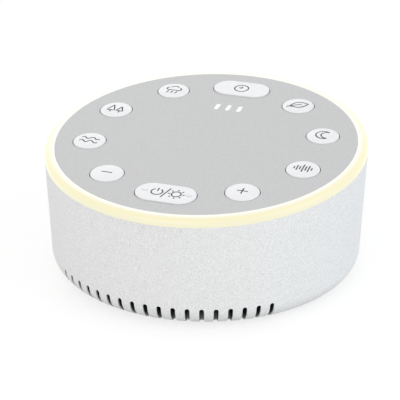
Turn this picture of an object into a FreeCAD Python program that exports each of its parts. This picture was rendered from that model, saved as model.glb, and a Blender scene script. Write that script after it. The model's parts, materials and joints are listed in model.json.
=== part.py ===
# A bedside sound machine: a round housing with a sloping top plate, ten push keys on one circle,
# a glowing ring round the rim and a loudspeaker that fires down behind vent slots at the front.
#
# Frame: origin at the centre of the underside of the feet, +Z up, front towards -Y, right towards +X.
# The top plate, its keys and the key board are drawn flat, with z = 0 at the plate's upper face,
# and then placed on the slope. Lengths are millimetres and angles are degrees.
import FreeCAD, Part
import math
import os

import Sketcher
from FreeCAD import Placement, Rotation, Vector

# alias, value, meaning
DRIVING_SIZES = [
    ("overall_diameter", 140.0, "outside of the light ring where it meets the housing"),
    ("base_diameter", 136.4, "housing just above its rounded lower edge"),
    ("top_height", 57.4, "centre of the plate's upper face above the table"),
    ("top_tilt", 5.45, "slope of the top towards the front, degrees"),
    ("foot_proud", 1.2, "how far the feet lift the housing"),
    ("base_round", 8.7, "rounding of the housing's lower edge"),
    ("inner_round", 4.0, "rounding inside the housing's lower edge"),
    ("wall", 2.4, "housing wall"),
    ("shelf_thick", 2.2, "inner shelf above the base cover"),
    ("shelf_reach", 7.8, "how far the shelf reaches in over the base cover"),
    ("slot_count", 18, "vent slots round the front"),
    ("slot_pitch", 5.0, "angle from one vent slot to the next, degrees"),
    ("slot_width", 2.0, "width of a vent slot"),
    ("slot_height", 9.1, "top of the vent slots above the housing's underside"),
    ("slot_root", 2.7, "from the base cover to the inner end of the vent slots"),
    ("cover_margin", 1.5, "flat rim of the housing round the base cover"),
    ("cover_thick", 2.4, "base cover"),
    ("cover_gap", 0.2, "play round the base cover"),
    ("foot_radius", 5.5, "rubber foot"),
    ("foot_recess", 0.8, "depth of a foot's seat in the cover"),
    ("foot_play", 0.1, "play round a foot in its seat"),
    ("foot_edge", 0.4, "rounding of a foot's lower edge"),
    ("foot_inset", 11.8, "centres of the feet inside the base cover's edge"),
    ("foot_angle", 35.0, "feet from the fore and aft line, degrees"),
    ("base_screw_inset", 4.3, "base screws inside the base cover's edge"),
    ("base_screw_angle", 55.0, "base screws from the fore and aft line, degrees"),
    ("base_screw_radius", 1.3, "shank"),
    ("base_screw_length", 8.0, "shank"),
    ("base_screw_head", 2.5, "head radius"),
    ("base_head_height", 1.1, "head height"),
    ("base_head_sink", 1.4, "depth of the head's pocket in the cover"),
    ("base_boss_radius", 3.5, "boss for a base screw"),
    ("base_boss_height", 8.5, "boss above the shelf"),
    ("screw_play", 0.05, "play of a screw in its pilot hole"),
    ("screw_pass", 0.3, "play of a screw in a hole it passes through"),
    ("ring_width", 4.4, "light ring, from its bore to its outside"),
    ("ring_depth", 3.5, "visible height of the light ring below the plate's face"),
    ("ring_round", 3.0, "rounding of the light ring's shoulder"),
    ("ring_ledge", 3.1, "width of the ledge under the plate"),
    ("ring_ledge_thick", 1.6, "ledge under the plate"),
    ("tongue_depth", 3.0, "tongue of the light ring inside the housing"),
    ("tongue_thick", 1.4, "tongue of the light ring"),
    ("tongue_gap", 0.6, "play between the tongue and the housing"),
    ("plate_gap", 0.1, "play round the plate in the light ring"),
    ("plate_thick", 2.5, "top plate"),
    ("plate_edge", 0.3, "chamfer round the plate's upper edge"),
    ("key_inset", 15.0, "keys' centres inside the plate's edge"),
    ("key_radius", 7.1, "round key"),
    ("pill_length", 26.0, "pill key"),
    ("pill_width", 14.0, "pill key"),
    ("key_gap", 0.35, "gap round a key in the plate"),
    ("key_proud", 0.35, "edge of a key's face above the plate"),
    ("key_crown", 0.45, "rise of a key's face from its edge to its centre"),
    ("key_edge", 0.4, "rounding of a key's edge"),
    ("cap_thick", 1.4, "top of a key"),
    ("skirt_thick", 1.0, "side wall of a key"),
    ("flange_reach", 1.3, "retaining flange of a key"),
    ("flange_thick", 1.0, "retaining flange of a key"),
    ("flange_gap", 0.3, "play between that flange and the plate"),
    ("stem_radius", 1.6, "stem under a key"),
    ("key_travel", 0.6, "stroke of a key"),
    ("switch_side", 6.0, "key switch, square"),
    ("switch_height", 3.2, "key switch without its plunger"),
    ("plunger_radius", 1.7, "switch plunger"),
    ("plunger_stick", 1.0, "plunger above the switch at rest"),
    ("plunger_depth", 1.4, "plunger inside the switch at rest"),
    ("plunger_gap", 0.25, "play round the plunger"),
    ("plunger_floor", 0.3, "play below the plunger at full stroke"),
    ("window_length", 5.5, "indicator window"),
    ("window_width", 2.0, "indicator window"),
    ("window_spacing", 5.2, "from one indicator window to the next"),
    ("window_inset", 19.5, "indicator windows inside the circle of the keys' centres"),
    ("window_gap", 0.05, "play round a window in the plate"),
    ("key_board_depth", 8.0, "key board's upper face below the plate's upper face"),
    ("key_board_gap", 1.1, "key board inside the light ring's tongue"),
    ("key_board_width", 42.5, "key board, from its bore to its rim"),
    ("board_thick", 1.6, "circuit boards"),
    ("post_offset", 7.5, "plate's posts outside the circle of the keys' centres"),
    ("post_radius", 2.5, "post"),
    ("board_screw_radius", 0.9, "board screw shank"),
    ("board_screw_length", 4.6, "board screw shank"),
    ("board_screw_head", 1.9, "board screw head radius"),
    ("board_head_height", 1.2, "board screw head"),
    ("ring_led_count", 20, "light emitters under the ring"),
    ("ring_led_margin", 0.3, "key board's rim beyond the emitters"),
    ("ring_led_depth", 2.8, "emitter, along the radius"),
    ("ring_led_length", 3.5, "emitter, along the rim"),
    ("ring_led_height", 1.9, "emitter"),
    ("indicator_led_height", 0.7, "emitter under an indicator window"),
    ("window_led_gap", 0.3, "play between an indicator window and its emitter"),
    ("board_length", 24.0, "main board, front to rear"),
    ("board_setback", 4.5, "main board's rear edge from the inlet pad"),
    ("board_half_width", 24.0, "main board"),
    ("board_post_height", 3.1, "main board above the shelf"),
    ("board_post_side", 20.0, "main board's posts, to either side"),
    ("board_post_inset", 4.0, "main board's posts from its front and rear edges"),
    ("tray_margin", 2.5, "shelf's tray beyond the main board"),
    ("inlet_radius", 5.0, "opening for the supply plug"),
    ("inlet_pad_half", 8.0, "half width and half height of the pad round that opening"),
    ("inlet_pad_depth", 2.3, "how far that pad stands in from the wall"),
    ("jack_axis_rise", 6.5, "socket's axis above the main board"),
    ("jack_width", 9.0, "supply socket"),
    ("jack_height", 11.0, "supply socket"),
    ("jack_length", 14.2, "supply socket"),
    ("jack_gap", 0.3, "between the supply socket and the pad"),
    ("jack_bore", 2.85, "bore of the supply socket"),
    ("jack_bore_depth", 9.5, "bore of the supply socket"),
    ("jack_pin_radius", 1.0, "centre pin"),
    ("jack_pin_length", 8.5, "centre pin"),
    ("socket_width", 12.0, "ribbon sockets"),
    ("socket_depth", 5.0, "ribbon sockets"),
    ("socket_height", 3.4, "ribbon sockets"),
    ("ribbon_side", 12.0, "ribbon and its sockets, to the right"),
    ("ribbon_width", 9.0, "ribbon cable"),
    ("ribbon_thick", 0.4, "ribbon cable"),
    ("key_socket_inset", 12.5, "key board's socket inside the circle of the keys' centres"),
    ("main_socket_inset", 9.0, "main board's socket behind the board's front edge"),
    ("speaker_post_height", 9.4, "posts under the speaker"),
    ("speaker_radius", 30.5, "speaker frame"),
    ("flange_width", 6.2, "frame's flange"),
    ("gasket_thick", 1.0, "speaker gasket"),
    ("gasket_inset", 0.3, "speaker gasket clear of the frame's opening"),
    ("frame_sheet", 1.2, "speaker frame's flange"),
    ("basket_depth", 11.0, "flange's front face to the magnet's seat"),
    ("flange_land", 4.3, "flat of the flange outside the basket"),
    ("foot_land", 2.2, "basket's foot beyond the pole washer"),
    ("basket_wall", 1.2, "basket wall, measured along the radius"),
    ("basket_hole_inset", 1.8, "basket's opening outside the washer's bore"),
    ("basket_windows", 4, "windows in the basket"),
    ("window_inner_set", 1.6, "basket window, inner edge outside the basket's foot"),
    ("window_outer_set", 3.2, "basket window, outer edge inside the shoulder"),
    ("window_half", 8.0, "basket window, half width"),
    ("speaker_screw_inset", 2.3, "speaker's screws inside the frame's edge"),
    ("speaker_post_radius", 2.8, "post under the speaker"),
    ("speaker_screw_radius", 1.1, "shank"),
    ("speaker_screw_length", 8.0, "shank"),
    ("speaker_screw_head", 1.85, "head radius"),
    ("speaker_head_height", 1.3, "head height"),
    ("washer_radius", 15.0, "pole washer"),
    ("coil_outer_gap", 0.4, "between the voice coil and the pole washer"),
    ("washer_thick", 2.0, "pole washer"),
    ("magnet_reach", 2.5, "magnet beyond the pole washer"),
    ("magnet_inset", 2.3, "magnet's bore outside the washer's"),
    ("magnet_thick", 6.0, "magnet"),
    ("yoke_inset", 1.5, "yoke inside the magnet's edge"),
    ("yoke_thick", 2.0, "yoke"),
    ("coil_inner_gap", 0.4, "between the voice coil and the pole piece"),
    ("coil_radius", 6.8, "outside of the voice coil"),
    ("coil_wall", 0.5, "voice coil"),
    ("coil_lead", 1.0, "voice coil in front of the cone's neck"),
    ("coil_height", 9.4, "voice coil"),
    ("cone_depth", 6.0, "cone's front face, from its rim to the coil"),
    ("cone_set", 1.0, "cone's rim behind the frame's front face"),
    ("surround_width", 2.7, "from the cone's rim to the frame's flange"),
    ("cone_sheet", 0.7, "cone"),
    ("dust_cap_radius", 9.0, "dust cap"),
    ("dust_cap_rise", 2.4, "height of the dust cap from its rim"),
    ("dust_cap_seat", 0.1, "dust cap's rim from the cone"),
    ("dust_cap_sheet", 0.5, "dust cap"),
    ("surround_sheet", 0.5, "surround"),
    ("spider_set", 2.0, "spider in front of the magnet's seat"),
    ("spider_gap", 0.2, "play between the spider and the basket"),
    ("spider_sheet", 0.4, "spider"),
    ("terminal_side", 10.0, "terminal strip and its leads, to the left"),
    ("terminal_width", 8.0, "terminal strip"),
    ("terminal_depth", 3.0, "terminal strip"),
    ("terminal_inset", 2.2, "terminal strip inside the frame's edge"),
    ("terminal_thick", 1.2, "terminal strip"),
    ("lead_radius", 0.6, "speaker lead"),
    ("lead_spacing", 2.5, "from one speaker lead to the other"),
    ("lead_bend", 4.0, "bend of a speaker lead"),
    ("lead_rise", 7.0, "speaker lead above the terminal strip"),
    ("lead_socket_inset", 6.0, "lead socket behind the main board's front edge"),
    ("chip_side", 10.0, "sound chip"),
    ("chip_thick", 1.8, "sound chip"),
    ("chip_inset", 14.5, "sound chip behind the main board's front edge"),
    ("capacitor_radius", 3.1, "capacitor"),
    ("capacitor_height", 8.0, "capacitor"),
    ("capacitor_side", 16.5, "capacitors, to the right"),
    ("capacitor_inset", 15.2, "capacitors behind the main board's front edge"),
    ("capacitor_spacing", 7.0, "from one capacitor to the next"),
]


class Size:
    """A number together with the spreadsheet formula that gives it."""

    def __init__(self, value, formula):
        self.value = float(value)
        self.formula = formula

    @staticmethod
    def of(other):
        """Take a plain number or a Size and return a Size."""
        return other if isinstance(other, Size) else Size(other, repr(other))

    def __add__(self, other):
        other = Size.of(other)
        return Size(self.value + other.value, f"({self.formula} + {other.formula})")

    def __sub__(self, other):
        other = Size.of(other)
        return Size(self.value - other.value, f"({self.formula} - {other.formula})")

    def __mul__(self, other):
        other = Size.of(other)
        return Size(self.value * other.value, f"({self.formula} * {other.formula})")

    def __truediv__(self, other):
        other = Size.of(other)
        return Size(self.value / other.value, f"({self.formula} / {other.formula})")

    def __neg__(self):
        return Size(-self.value, f"(0 - {self.formula})")

    def sine(self):
        """Sine of an angle in degrees."""
        return Size(math.sin(math.radians(self.value)), f"sin({self.formula} * 1deg)")

    def cosine(self):
        """Cosine of an angle in degrees."""
        return Size(math.cos(math.radians(self.value)), f"cos({self.formula} * 1deg)")


class Arc:
    """An outline's corner point whose edge to the next point is an arc.

    turn is +1 where the arc runs counterclockwise and -1 where it runs clockwise.
    """

    def __init__(self, across, up, radius, turn):
        self.across, self.up = across, up
        self.radius, self.turn = radius, turn


document = FreeCAD.newDocument("SoundMachine")
sheet = document.addObject("Spreadsheet::Sheet", "Sizes")


class SizeTable:
    """The driving sizes, one attribute per alias of the sheet."""

    def __init__(self):
        for row, (alias, value, meaning) in enumerate(DRIVING_SIZES, start=1):
            sheet.set(f"A{row}", meaning)
            sheet.set(f"B{row}", str(value))
            sheet.setAlias(f"B{row}", alias)
            setattr(self, alias, Size(value, f"Sizes.{alias}"))


s = SizeTable()
document.recompute()

ZERO = Size(0.0, "0")
HALF_TURN = Size(180.0, "180")
FULL_TURN = Size(360.0, "360")
# The pocket sketches start this far outside the material that they cut.
REACH = 1.0

# Radii of the housing and the base.
outer_radius = s.overall_diameter / 2
base_radius = s.base_diameter / 2
cover_radius = base_radius - s.base_round - s.cover_margin - s.cover_gap
shelf_radius = cover_radius - s.shelf_reach
slot_root_radius = cover_radius + s.slot_root
foot_circle = cover_radius - s.foot_inset
base_screw_circle = cover_radius - s.base_screw_inset
inlet_pad_face = base_radius - s.wall - s.inlet_pad_depth

# Radii and depths of the top, measured on the slope.
ring_bore = outer_radius - s.ring_width
plate_radius = ring_bore - s.plate_gap
tongue_outer = outer_radius - s.wall - s.tongue_gap
tongue_inner = tongue_outer - s.tongue_thick
key_board_radius = tongue_inner - s.key_board_gap
key_board_bore = key_board_radius - s.key_board_width
ring_led_radius = key_board_radius - s.ring_led_margin - s.ring_led_depth / 2
key_circle = plate_radius - s.key_inset
post_circle = key_circle + s.post_offset
window_place = key_circle - s.window_inset
key_socket_place = key_circle - s.key_socket_inset
key_board_under = s.key_board_depth + s.board_thick
switch_top = s.key_board_depth - s.switch_height
plunger_top = switch_top - s.plunger_stick

# Heights above the table.
cover_top = s.foot_proud + s.cover_thick
shelf_top = cover_top + s.shelf_thick
slot_top = s.foot_proud + s.slot_height
board_top = shelf_top + s.board_post_height + s.board_thick
inlet_axis = board_top + s.jack_axis_rise

# Places on the main board, from front to rear.
board_rear = inlet_pad_face - s.board_setback
board_front = board_rear - s.board_length
main_socket_place = board_front + s.main_socket_inset
lead_socket_place = board_front + s.lead_socket_inset
chip_place = board_front + s.chip_inset
capacitor_place = board_front + s.capacitor_inset

# The speaker lies face down: its front face is its lowest.
speaker_rise = cover_top + s.speaker_post_height
flange_face = speaker_rise + s.gasket_thick
flange_back = flange_face + s.frame_sheet
basket_seat = flange_face + s.basket_depth
basket_top = basket_seat + s.frame_sheet
washer_top = basket_top + s.washer_thick
magnet_top = washer_top + s.magnet_thick
speaker_opening = s.speaker_radius - s.flange_width
speaker_post_circle = s.speaker_radius - s.speaker_screw_inset
terminal_place = s.speaker_radius - s.terminal_inset
gasket_bore = speaker_opening + s.gasket_inset
basket_shoulder = s.speaker_radius - s.flange_land
basket_foot = s.washer_radius + s.foot_land
window_inner = basket_foot + s.window_inner_set
window_outer = basket_shoulder - s.window_outer_set
washer_bore = s.coil_radius + s.coil_outer_gap
pole_radius = s.coil_radius - s.coil_wall - s.coil_inner_gap
magnet_bore = washer_bore + s.magnet_inset
basket_hole = washer_bore + s.basket_hole_inset
magnet_radius = s.washer_radius + s.magnet_reach
yoke_radius = magnet_radius - s.yoke_inset
cone_radius = speaker_opening - s.surround_width
cone_rim = flange_face + s.cone_set
cone_neck = cone_rim + s.cone_depth
coil_low = cone_neck - s.coil_lead
spider_place = basket_seat - s.spider_set

KEY_PITCH = 36.0
PILL_KEYS = {"key_timer": 0, "key_power": 5}
ROUND_KEYS = {
    "key_relax": 1, "key_calm": 2, "key_noise": 3, "key_plus": 4,
    "key_minus": 6, "key_ocean": 7, "key_forest": 8, "key_rain": 9,
}
ALL_KEYS = {**PILL_KEYS, **ROUND_KEYS}


def around(radius, degrees):
    """Place on a circle, measured clockwise from the rear as seen from above."""
    angle = Size.of(degrees)
    return radius * angle.sine(), radius * angle.cosine()


def key_place(step):
    """Centre of the key that lies so many pitches clockwise from the rear."""
    return around(key_circle, step * KEY_PITCH)


def four_places(radius, angle):
    """Four places, mirrored left to right and front to rear, at an angle from the fore and aft line."""
    return [around(radius, turn) for turn in
            (angle, HALF_TURN - angle, HALF_TURN + angle, FULL_TURN - angle)]


def bind(feature, path, amount):
    """Set a property from its formula."""
    feature.setExpression(path, Size.of(amount).formula)


def new_body(name):
    """An empty body that carries the sub-part's name."""
    body = document.addObject("PartDesign::Body", name)
    body.Label = name
    return body


def origin_feature(body, role):
    """One of the body's own origin planes or axes."""
    return next(item for item in body.Origin.OriginFeatures if item.Role == role)


def new_sketch(body, role="XY_Plane", offset=ZERO):
    """A sketch on one of the body's origin planes, moved along that plane's normal."""
    sketch = body.newObject("Sketcher::SketchObject", body.Name + "_sketch")
    sketch.AttachmentSupport = [(origin_feature(body, role), "")]
    sketch.MapMode = "FlatFace"
    sketch.AttachmentOffset = Placement(Vector(0, 0, offset.value), Rotation())
    bind(sketch, "AttachmentOffset.Base.z", offset)
    return sketch


def fix(sketch, direction, geometry, point, amount):
    """Hold one coordinate of a point at its formula."""
    index = sketch.addConstraint(
        Sketcher.Constraint(direction, -1, 1, geometry, point, Size.of(amount).value))
    bind(sketch, f"Constraints[{index}]", amount)


def circle(sketch, across, up, radius):
    """A circle whose centre and radius follow their formulas."""
    centre = Vector(across.value, up.value, 0)
    index = sketch.addGeometry(Part.Circle(centre, Vector(0, 0, 1), radius.value))
    fix(sketch, "DistanceX", index, 3, across)
    fix(sketch, "DistanceY", index, 3, up)
    held = sketch.addConstraint(Sketcher.Constraint("Radius", index, radius.value))
    bind(sketch, f"Constraints[{held}]", radius)


def arc_between(start, end, radius, turn):
    """A shallow or quarter arc from start to end, as a Part arc."""
    chord = end - start
    middle = (start + end) * 0.5
    rise = math.sqrt(max(radius * radius - chord.Length * chord.Length / 4, 0.0))
    normal = Vector(-chord.y, chord.x, 0).normalize()
    centre = middle + normal * rise * turn
    first = math.atan2(start.y - centre.y, start.x - centre.x)
    last = math.atan2(end.y - centre.y, end.x - centre.x)
    if turn < 0:
        first, last = last, first
    full = Part.Circle(centre, Vector(0, 0, 1), radius)
    return Part.ArcOfCircle(full, first, last if last > first else last + 2 * math.pi)


def outline(sketch, points, closed=True):
    """Lines and arcs through points, each held at its formula.

    A point is a pair (across, up), or an Arc where the edge that leaves it is one.
    """
    places = [(Size.of(p.across), Size.of(p.up)) if isinstance(p, Arc) else
              (Size.of(p[0]), Size.of(p[1])) for p in points]
    corners = [Vector(across.value, up.value, 0) for across, up in places]
    edges = []
    for number in range(len(points) if closed else len(points) - 1):
        start, end = corners[number], corners[(number + 1) % len(points)]
        point = points[number]
        if isinstance(point, Arc):
            curve = arc_between(start, end, point.radius.value, point.turn)
            index = sketch.addGeometry(curve)
            held = sketch.addConstraint(Sketcher.Constraint("Radius", index, point.radius.value))
            bind(sketch, f"Constraints[{held}]", point.radius)
            edges.append((index, 1, 2) if point.turn > 0 else (index, 2, 1))
        else:
            index = sketch.addGeometry(Part.LineSegment(start, end))
            edges.append((index, 1, 2))
    for number, (index, first, last) in enumerate(edges):
        if closed or number + 1 < len(edges):
            following = edges[(number + 1) % len(edges)]
            sketch.addConstraint(
                Sketcher.Constraint("Coincident", index, last, following[0], following[1]))
        fix(sketch, "DistanceX", index, first, places[number][0])
        fix(sketch, "DistanceY", index, first, places[number][1])
    if not closed:
        index, _, last = edges[-1]
        fix(sketch, "DistanceX", index, last, places[-1][0])
        fix(sketch, "DistanceY", index, last, places[-1][1])


def rectangle(sketch, left, right, low, high):
    """A rectangle from its four sides."""
    outline(sketch, [(left, low), (right, low), (right, high), (left, high)])


def centred_rectangle(sketch, across, up, width, height):
    """A rectangle round its centre."""
    rectangle(sketch, across - width / 2, across + width / 2, up - height / 2, up + height / 2)


def pill(sketch, across, up, length, width):
    """A pill along the sketch's X axis, with each end in two quarter arcs."""
    radius = width / 2
    reach = length / 2 - radius
    right, left = across + reach, across - reach
    outline(sketch, [
        (left, up - radius),
        Arc(right, up - radius, radius, 1),
        Arc(right + radius, up, radius, 1),
        (right, up + radius),
        Arc(left, up + radius, radius, 1),
        Arc(left - radius, up, radius, 1),
    ])


def upright_pill(sketch, across, up, length, width):
    """A pill along the sketch's Y axis."""
    radius = width / 2
    reach = length / 2 - radius
    high, low = up + reach, up - reach
    outline(sketch, [
        (across + radius, low),
        Arc(across + radius, high, radius, 1),
        Arc(across, high + radius, radius, 1),
        (across - radius, high),
        Arc(across - radius, low, radius, 1),
        Arc(across, low - radius, radius, 1),
    ])


def pad(body, sketch, length, reverse=False):
    """Material along the sketch's normal, or against it."""
    feature = body.newObject("PartDesign::Pad", body.Name + "_pad")
    feature.Profile = sketch
    feature.Reversed = reverse
    bind(feature, "Length", length)
    return feature


def pocket(body, sketch, length, reverse=False):
    """A cut against the sketch's normal, or along it when reversed."""
    feature = body.newObject("PartDesign::Pocket", body.Name + "_pocket")
    feature.Profile = sketch
    feature.Reversed = reverse
    bind(feature, "Length", length)
    return feature


def turned(body, points):
    """A solid of revolution about the body's Z axis from an outline of radius and height."""
    sketch = new_sketch(body, "XZ_Plane")
    outline(sketch, points)
    feature = body.newObject("PartDesign::Revolution", body.Name + "_turned")
    feature.Profile = sketch
    feature.ReferenceAxis = (sketch, ["V_Axis"])
    feature.Angle = FULL_TURN.value
    return feature


def grooved(body, points):
    """A turned cut about the body's Z axis from an outline of radius and height."""
    sketch = new_sketch(body, "XZ_Plane")
    outline(sketch, points)
    feature = body.newObject("PartDesign::Groove", body.Name + "_groove")
    feature.Profile = sketch
    feature.ReferenceAxis = (sketch, ["V_Axis"])
    feature.Angle = FULL_TURN.value
    return feature


def polar_pattern(body, feature, angle, count):
    """Copies of a feature about the body's Z axis, the last one at the angle."""
    pattern = body.newObject("PartDesign::PolarPattern", body.Name + "_pattern")
    pattern.Originals = [feature]
    pattern.Axis = (origin_feature(body, "Z_Axis"), [""])
    bind(pattern, "Angle", angle)
    bind(pattern, "Occurrences", count)
    body.Tip = pattern


def round_edges(body, names, radius, kind="PartDesign::Fillet"):
    """Round or chamfer the named edges of the body's present tip."""
    base = body.Tip
    feature = body.newObject(kind, body.Name + "_edge")
    feature.Base = (base, names)
    bind(feature, "Radius" if kind.endswith("Fillet") else "Size", radius)
    document.recompute()


def edges_at(body, height, low_radius, high_radius):
    """Names of the edges that lie flat at a height, between two radii from the body's axis."""
    slack = 0.01
    names = []
    for number, edge in enumerate(body.Shape.Edges, start=1):
        box = edge.BoundBox
        place = edge.valueAt(edge.FirstParameter)
        reach = math.hypot(place.x, place.y)
        level = abs(box.ZMin - height) < slack and abs(box.ZMax - height) < slack
        if level and low_radius < reach < high_radius:
            names.append(f"Edge{number}")
    return names


def on_slope(body, across=ZERO, back=ZERO):
    """Carry a part that is drawn flat onto the sloping top, at a place on the plate."""
    tilt = s.top_tilt
    body.Placement = Placement(Vector(0, 0, 0), Rotation(Vector(1, 0, 0), tilt.value))
    bind(body, "Placement.Base.x", across)
    bind(body, "Placement.Base.y", back * tilt.cosine())
    bind(body, "Placement.Base.z", s.top_height + back * tilt.sine())
    body.setExpression("Placement.Rotation.Angle", f"{tilt.formula} * 1deg")


def rim_circle(body, radius):
    """A circle on the slope, where the light ring meets the housing."""
    tilt = s.top_tilt
    sketch = new_sketch(body)
    sketch.AttachmentOffset = Placement(Vector(0, 0, 0), Rotation(Vector(1, 0, 0), tilt.value))
    bind(sketch, "AttachmentOffset.Base.y", s.ring_depth * tilt.sine())
    bind(sketch, "AttachmentOffset.Base.z", s.top_height - s.ring_depth * tilt.cosine())
    sketch.setExpression("AttachmentOffset.Rotation.Angle", f"{tilt.formula} * 1deg")
    circle(sketch, ZERO, ZERO, radius)
    return sketch


def loft(body, kind, low, high):
    """A ruled loft from a level circle to a sloping one."""
    feature = body.newObject(kind, body.Name + "_loft")
    feature.Profile = low
    feature.Sections = [high]
    feature.Ruled = True
    document.recompute()
    return feature


def screws(body, places, seat, shank, length, head, head_height, head_up):
    """Plain screws on one level: the heads on one side of their seat and the shanks on the other."""
    for radius, reach, upwards in ((head, head_height, head_up), (shank, length, not head_up)):
        sketch = new_sketch(body, offset=seat)
        for across, up in places:
            circle(sketch, across, up, radius)
        pad(body, sketch, reach, reverse=not upwards)


def build_housing():
    """Outer shell: sloping rim, rounded lower edge, shelf, bosses, inlet pad and vent slots."""
    body = new_body("housing")
    foot_top = s.foot_proud + s.base_round
    turned(body, [
        (ZERO, s.foot_proud),
        Arc(base_radius - s.base_round, s.foot_proud, s.base_round, 1),
        (base_radius, foot_top),
        (ZERO, foot_top),
    ])
    low = new_sketch(body, offset=foot_top)
    circle(low, ZERO, ZERO, base_radius)
    loft(body, "PartDesign::AdditiveLoft", low, rim_circle(body, outer_radius))

    hollow_radius = base_radius - s.wall
    low = new_sketch(body, offset=shelf_top + s.inner_round)
    circle(low, ZERO, ZERO, hollow_radius)
    loft(body, "PartDesign::SubtractiveLoft", low, rim_circle(body, outer_radius - s.wall))
    grooved(body, [
        (ZERO, shelf_top),
        Arc(hollow_radius - s.inner_round, shelf_top, s.inner_round, 1),
        (hollow_radius, shelf_top + s.inner_round),
        (ZERO, shelf_top + s.inner_round),
    ])

    sketch = new_sketch(body, offset=s.foot_proud - REACH)
    circle(sketch, ZERO, ZERO, shelf_radius)
    pocket(body, sketch, s.cover_thick + s.shelf_thick + REACH * 2, reverse=True)
    sketch = new_sketch(body, offset=s.foot_proud - REACH)
    circle(sketch, ZERO, ZERO, cover_radius + s.cover_gap)
    pocket(body, sketch, s.cover_thick + REACH, reverse=True)

    build_tray(body)
    build_base_bosses(body)
    build_inlet(body)
    build_slots(body)


def main_board_places():
    """Centres of the main board's four screws."""
    front = board_front + s.board_post_inset
    rear = board_rear - s.board_post_inset
    side = s.board_post_side
    return [(side, front), (side, rear), (-side, front), (-side, rear)]


def build_tray(body):
    """The shelf's tongue under the main board, with the board's posts."""
    side = s.board_half_width + s.tray_margin
    sketch = new_sketch(body, offset=cover_top)
    rectangle(sketch, -side, side, board_front - s.tray_margin, shelf_radius + s.tray_margin)
    pad(body, sketch, s.shelf_thick)
    sketch = new_sketch(body, offset=shelf_top - s.shelf_thick / 2)
    for across, up in main_board_places():
        circle(sketch, across, up, s.post_radius)
    pad(body, sketch, s.board_post_height + s.shelf_thick / 2)
    sketch = new_sketch(body, offset=shelf_top + s.board_post_height)
    for across, up in main_board_places():
        circle(sketch, across, up, s.board_screw_radius + s.screw_play)
    pocket(body, sketch, s.board_screw_length - s.board_thick + s.screw_pass)


def build_base_bosses(body):
    """Bosses on the shelf that take the base screws."""
    places = four_places(base_screw_circle, s.base_screw_angle)
    sketch = new_sketch(body, offset=cover_top)
    for across, up in places:
        circle(sketch, across, up, s.base_boss_radius)
    pad(body, sketch, s.shelf_thick + s.base_boss_height)
    sketch = new_sketch(body, offset=cover_top)
    for across, up in places:
        circle(sketch, across, up, s.base_screw_radius + s.screw_play)
    pocket(body, sketch, s.base_screw_length, reverse=True)


def build_inlet(body):
    """A thick pad inside the rear wall and the opening for the supply plug through it."""
    sketch = new_sketch(body, "XZ_Plane", -inlet_pad_face)
    centred_rectangle(sketch, ZERO, inlet_axis, s.inlet_pad_half * 2, s.inlet_pad_half * 2)
    pad(body, sketch, base_radius - s.wall / 2 - inlet_pad_face, reverse=True)
    sketch = new_sketch(body, "XZ_Plane", -(inlet_pad_face - REACH))
    circle(sketch, ZERO, inlet_axis, s.inlet_radius)
    pocket(body, sketch, outer_radius - inlet_pad_face + REACH * 2)


def build_slots(body):
    """Vent slots that cut through the wall and run on round the lower edge."""
    start = outer_radius + REACH
    first = s.slot_pitch * (s.slot_count - 1) / 2
    sketch = new_sketch(body, "XZ_Plane")
    sketch.AttachmentOffset = Placement(Vector(0, 0, 0), Rotation(Vector(0, 1, 0), -first.value))
    bind(sketch, "AttachmentOffset.Base.x", -(start * first.sine()))
    bind(sketch, "AttachmentOffset.Base.z", start * first.cosine())
    sketch.setExpression("AttachmentOffset.Rotation.Angle", f"{first.formula} * -1deg")
    half = s.slot_width / 2
    outline(sketch, [
        (-half, -REACH),
        (half, -REACH),
        Arc(half, slot_top - half, half, 1),
        Arc(ZERO, slot_top, half, 1),
        (-half, slot_top - half),
    ])
    slot = pocket(body, sketch, start - slot_root_radius)
    document.recompute()
    polar_pattern(body, slot, s.slot_pitch * (s.slot_count - 1), s.slot_count)


def build_base_cover():
    """Flat cover screwed up against the shelf, with the speaker's posts on it."""
    body = new_body("base_cover")
    sketch = new_sketch(body, offset=s.foot_proud)
    circle(sketch, ZERO, ZERO, cover_radius)
    pad(body, sketch, s.cover_thick)
    posts = speaker_places()
    sketch = new_sketch(body, offset=cover_top - s.cover_thick / 2)
    for across, up in posts:
        circle(sketch, across, up, s.speaker_post_radius)
    pad(body, sketch, speaker_rise - cover_top + s.cover_thick / 2)
    sketch = new_sketch(body, offset=speaker_rise)
    for across, up in posts:
        circle(sketch, across, up, s.speaker_screw_radius + s.screw_play)
    pocket(body, sketch, s.speaker_screw_length)

    sketch = new_sketch(body, offset=s.foot_proud)
    for across, up in four_places(foot_circle, s.foot_angle):
        circle(sketch, across, up, s.foot_radius + s.foot_play)
    pocket(body, sketch, s.foot_recess, reverse=True)
    screw_places = four_places(base_screw_circle, s.base_screw_angle)
    for radius, depth in ((s.base_screw_head + s.screw_pass, s.base_head_sink),
                          (s.base_screw_radius + s.screw_pass, s.cover_thick)):
        sketch = new_sketch(body, offset=s.foot_proud)
        for across, up in screw_places:
            circle(sketch, across, up, radius)
        pocket(body, sketch, depth, reverse=True)


def build_feet():
    """Four rubber feet in their seats."""
    body = new_body("rubber_feet")
    sketch = new_sketch(body)
    for across, up in four_places(foot_circle, s.foot_angle):
        circle(sketch, across, up, s.foot_radius)
    pad(body, sketch, s.foot_proud + s.foot_recess)
    document.recompute()
    round_edges(body, edges_at(body, 0.0, 0, outer_radius.value), s.foot_edge)


def build_base_screws():
    """Four screws that hold the base cover."""
    screws(new_body("base_screws"), four_places(base_screw_circle, s.base_screw_angle),
           s.foot_proud + s.base_head_sink, s.base_screw_radius, s.base_screw_length - s.screw_pass,
           s.base_screw_head, s.base_head_height, head_up=False)


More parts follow.
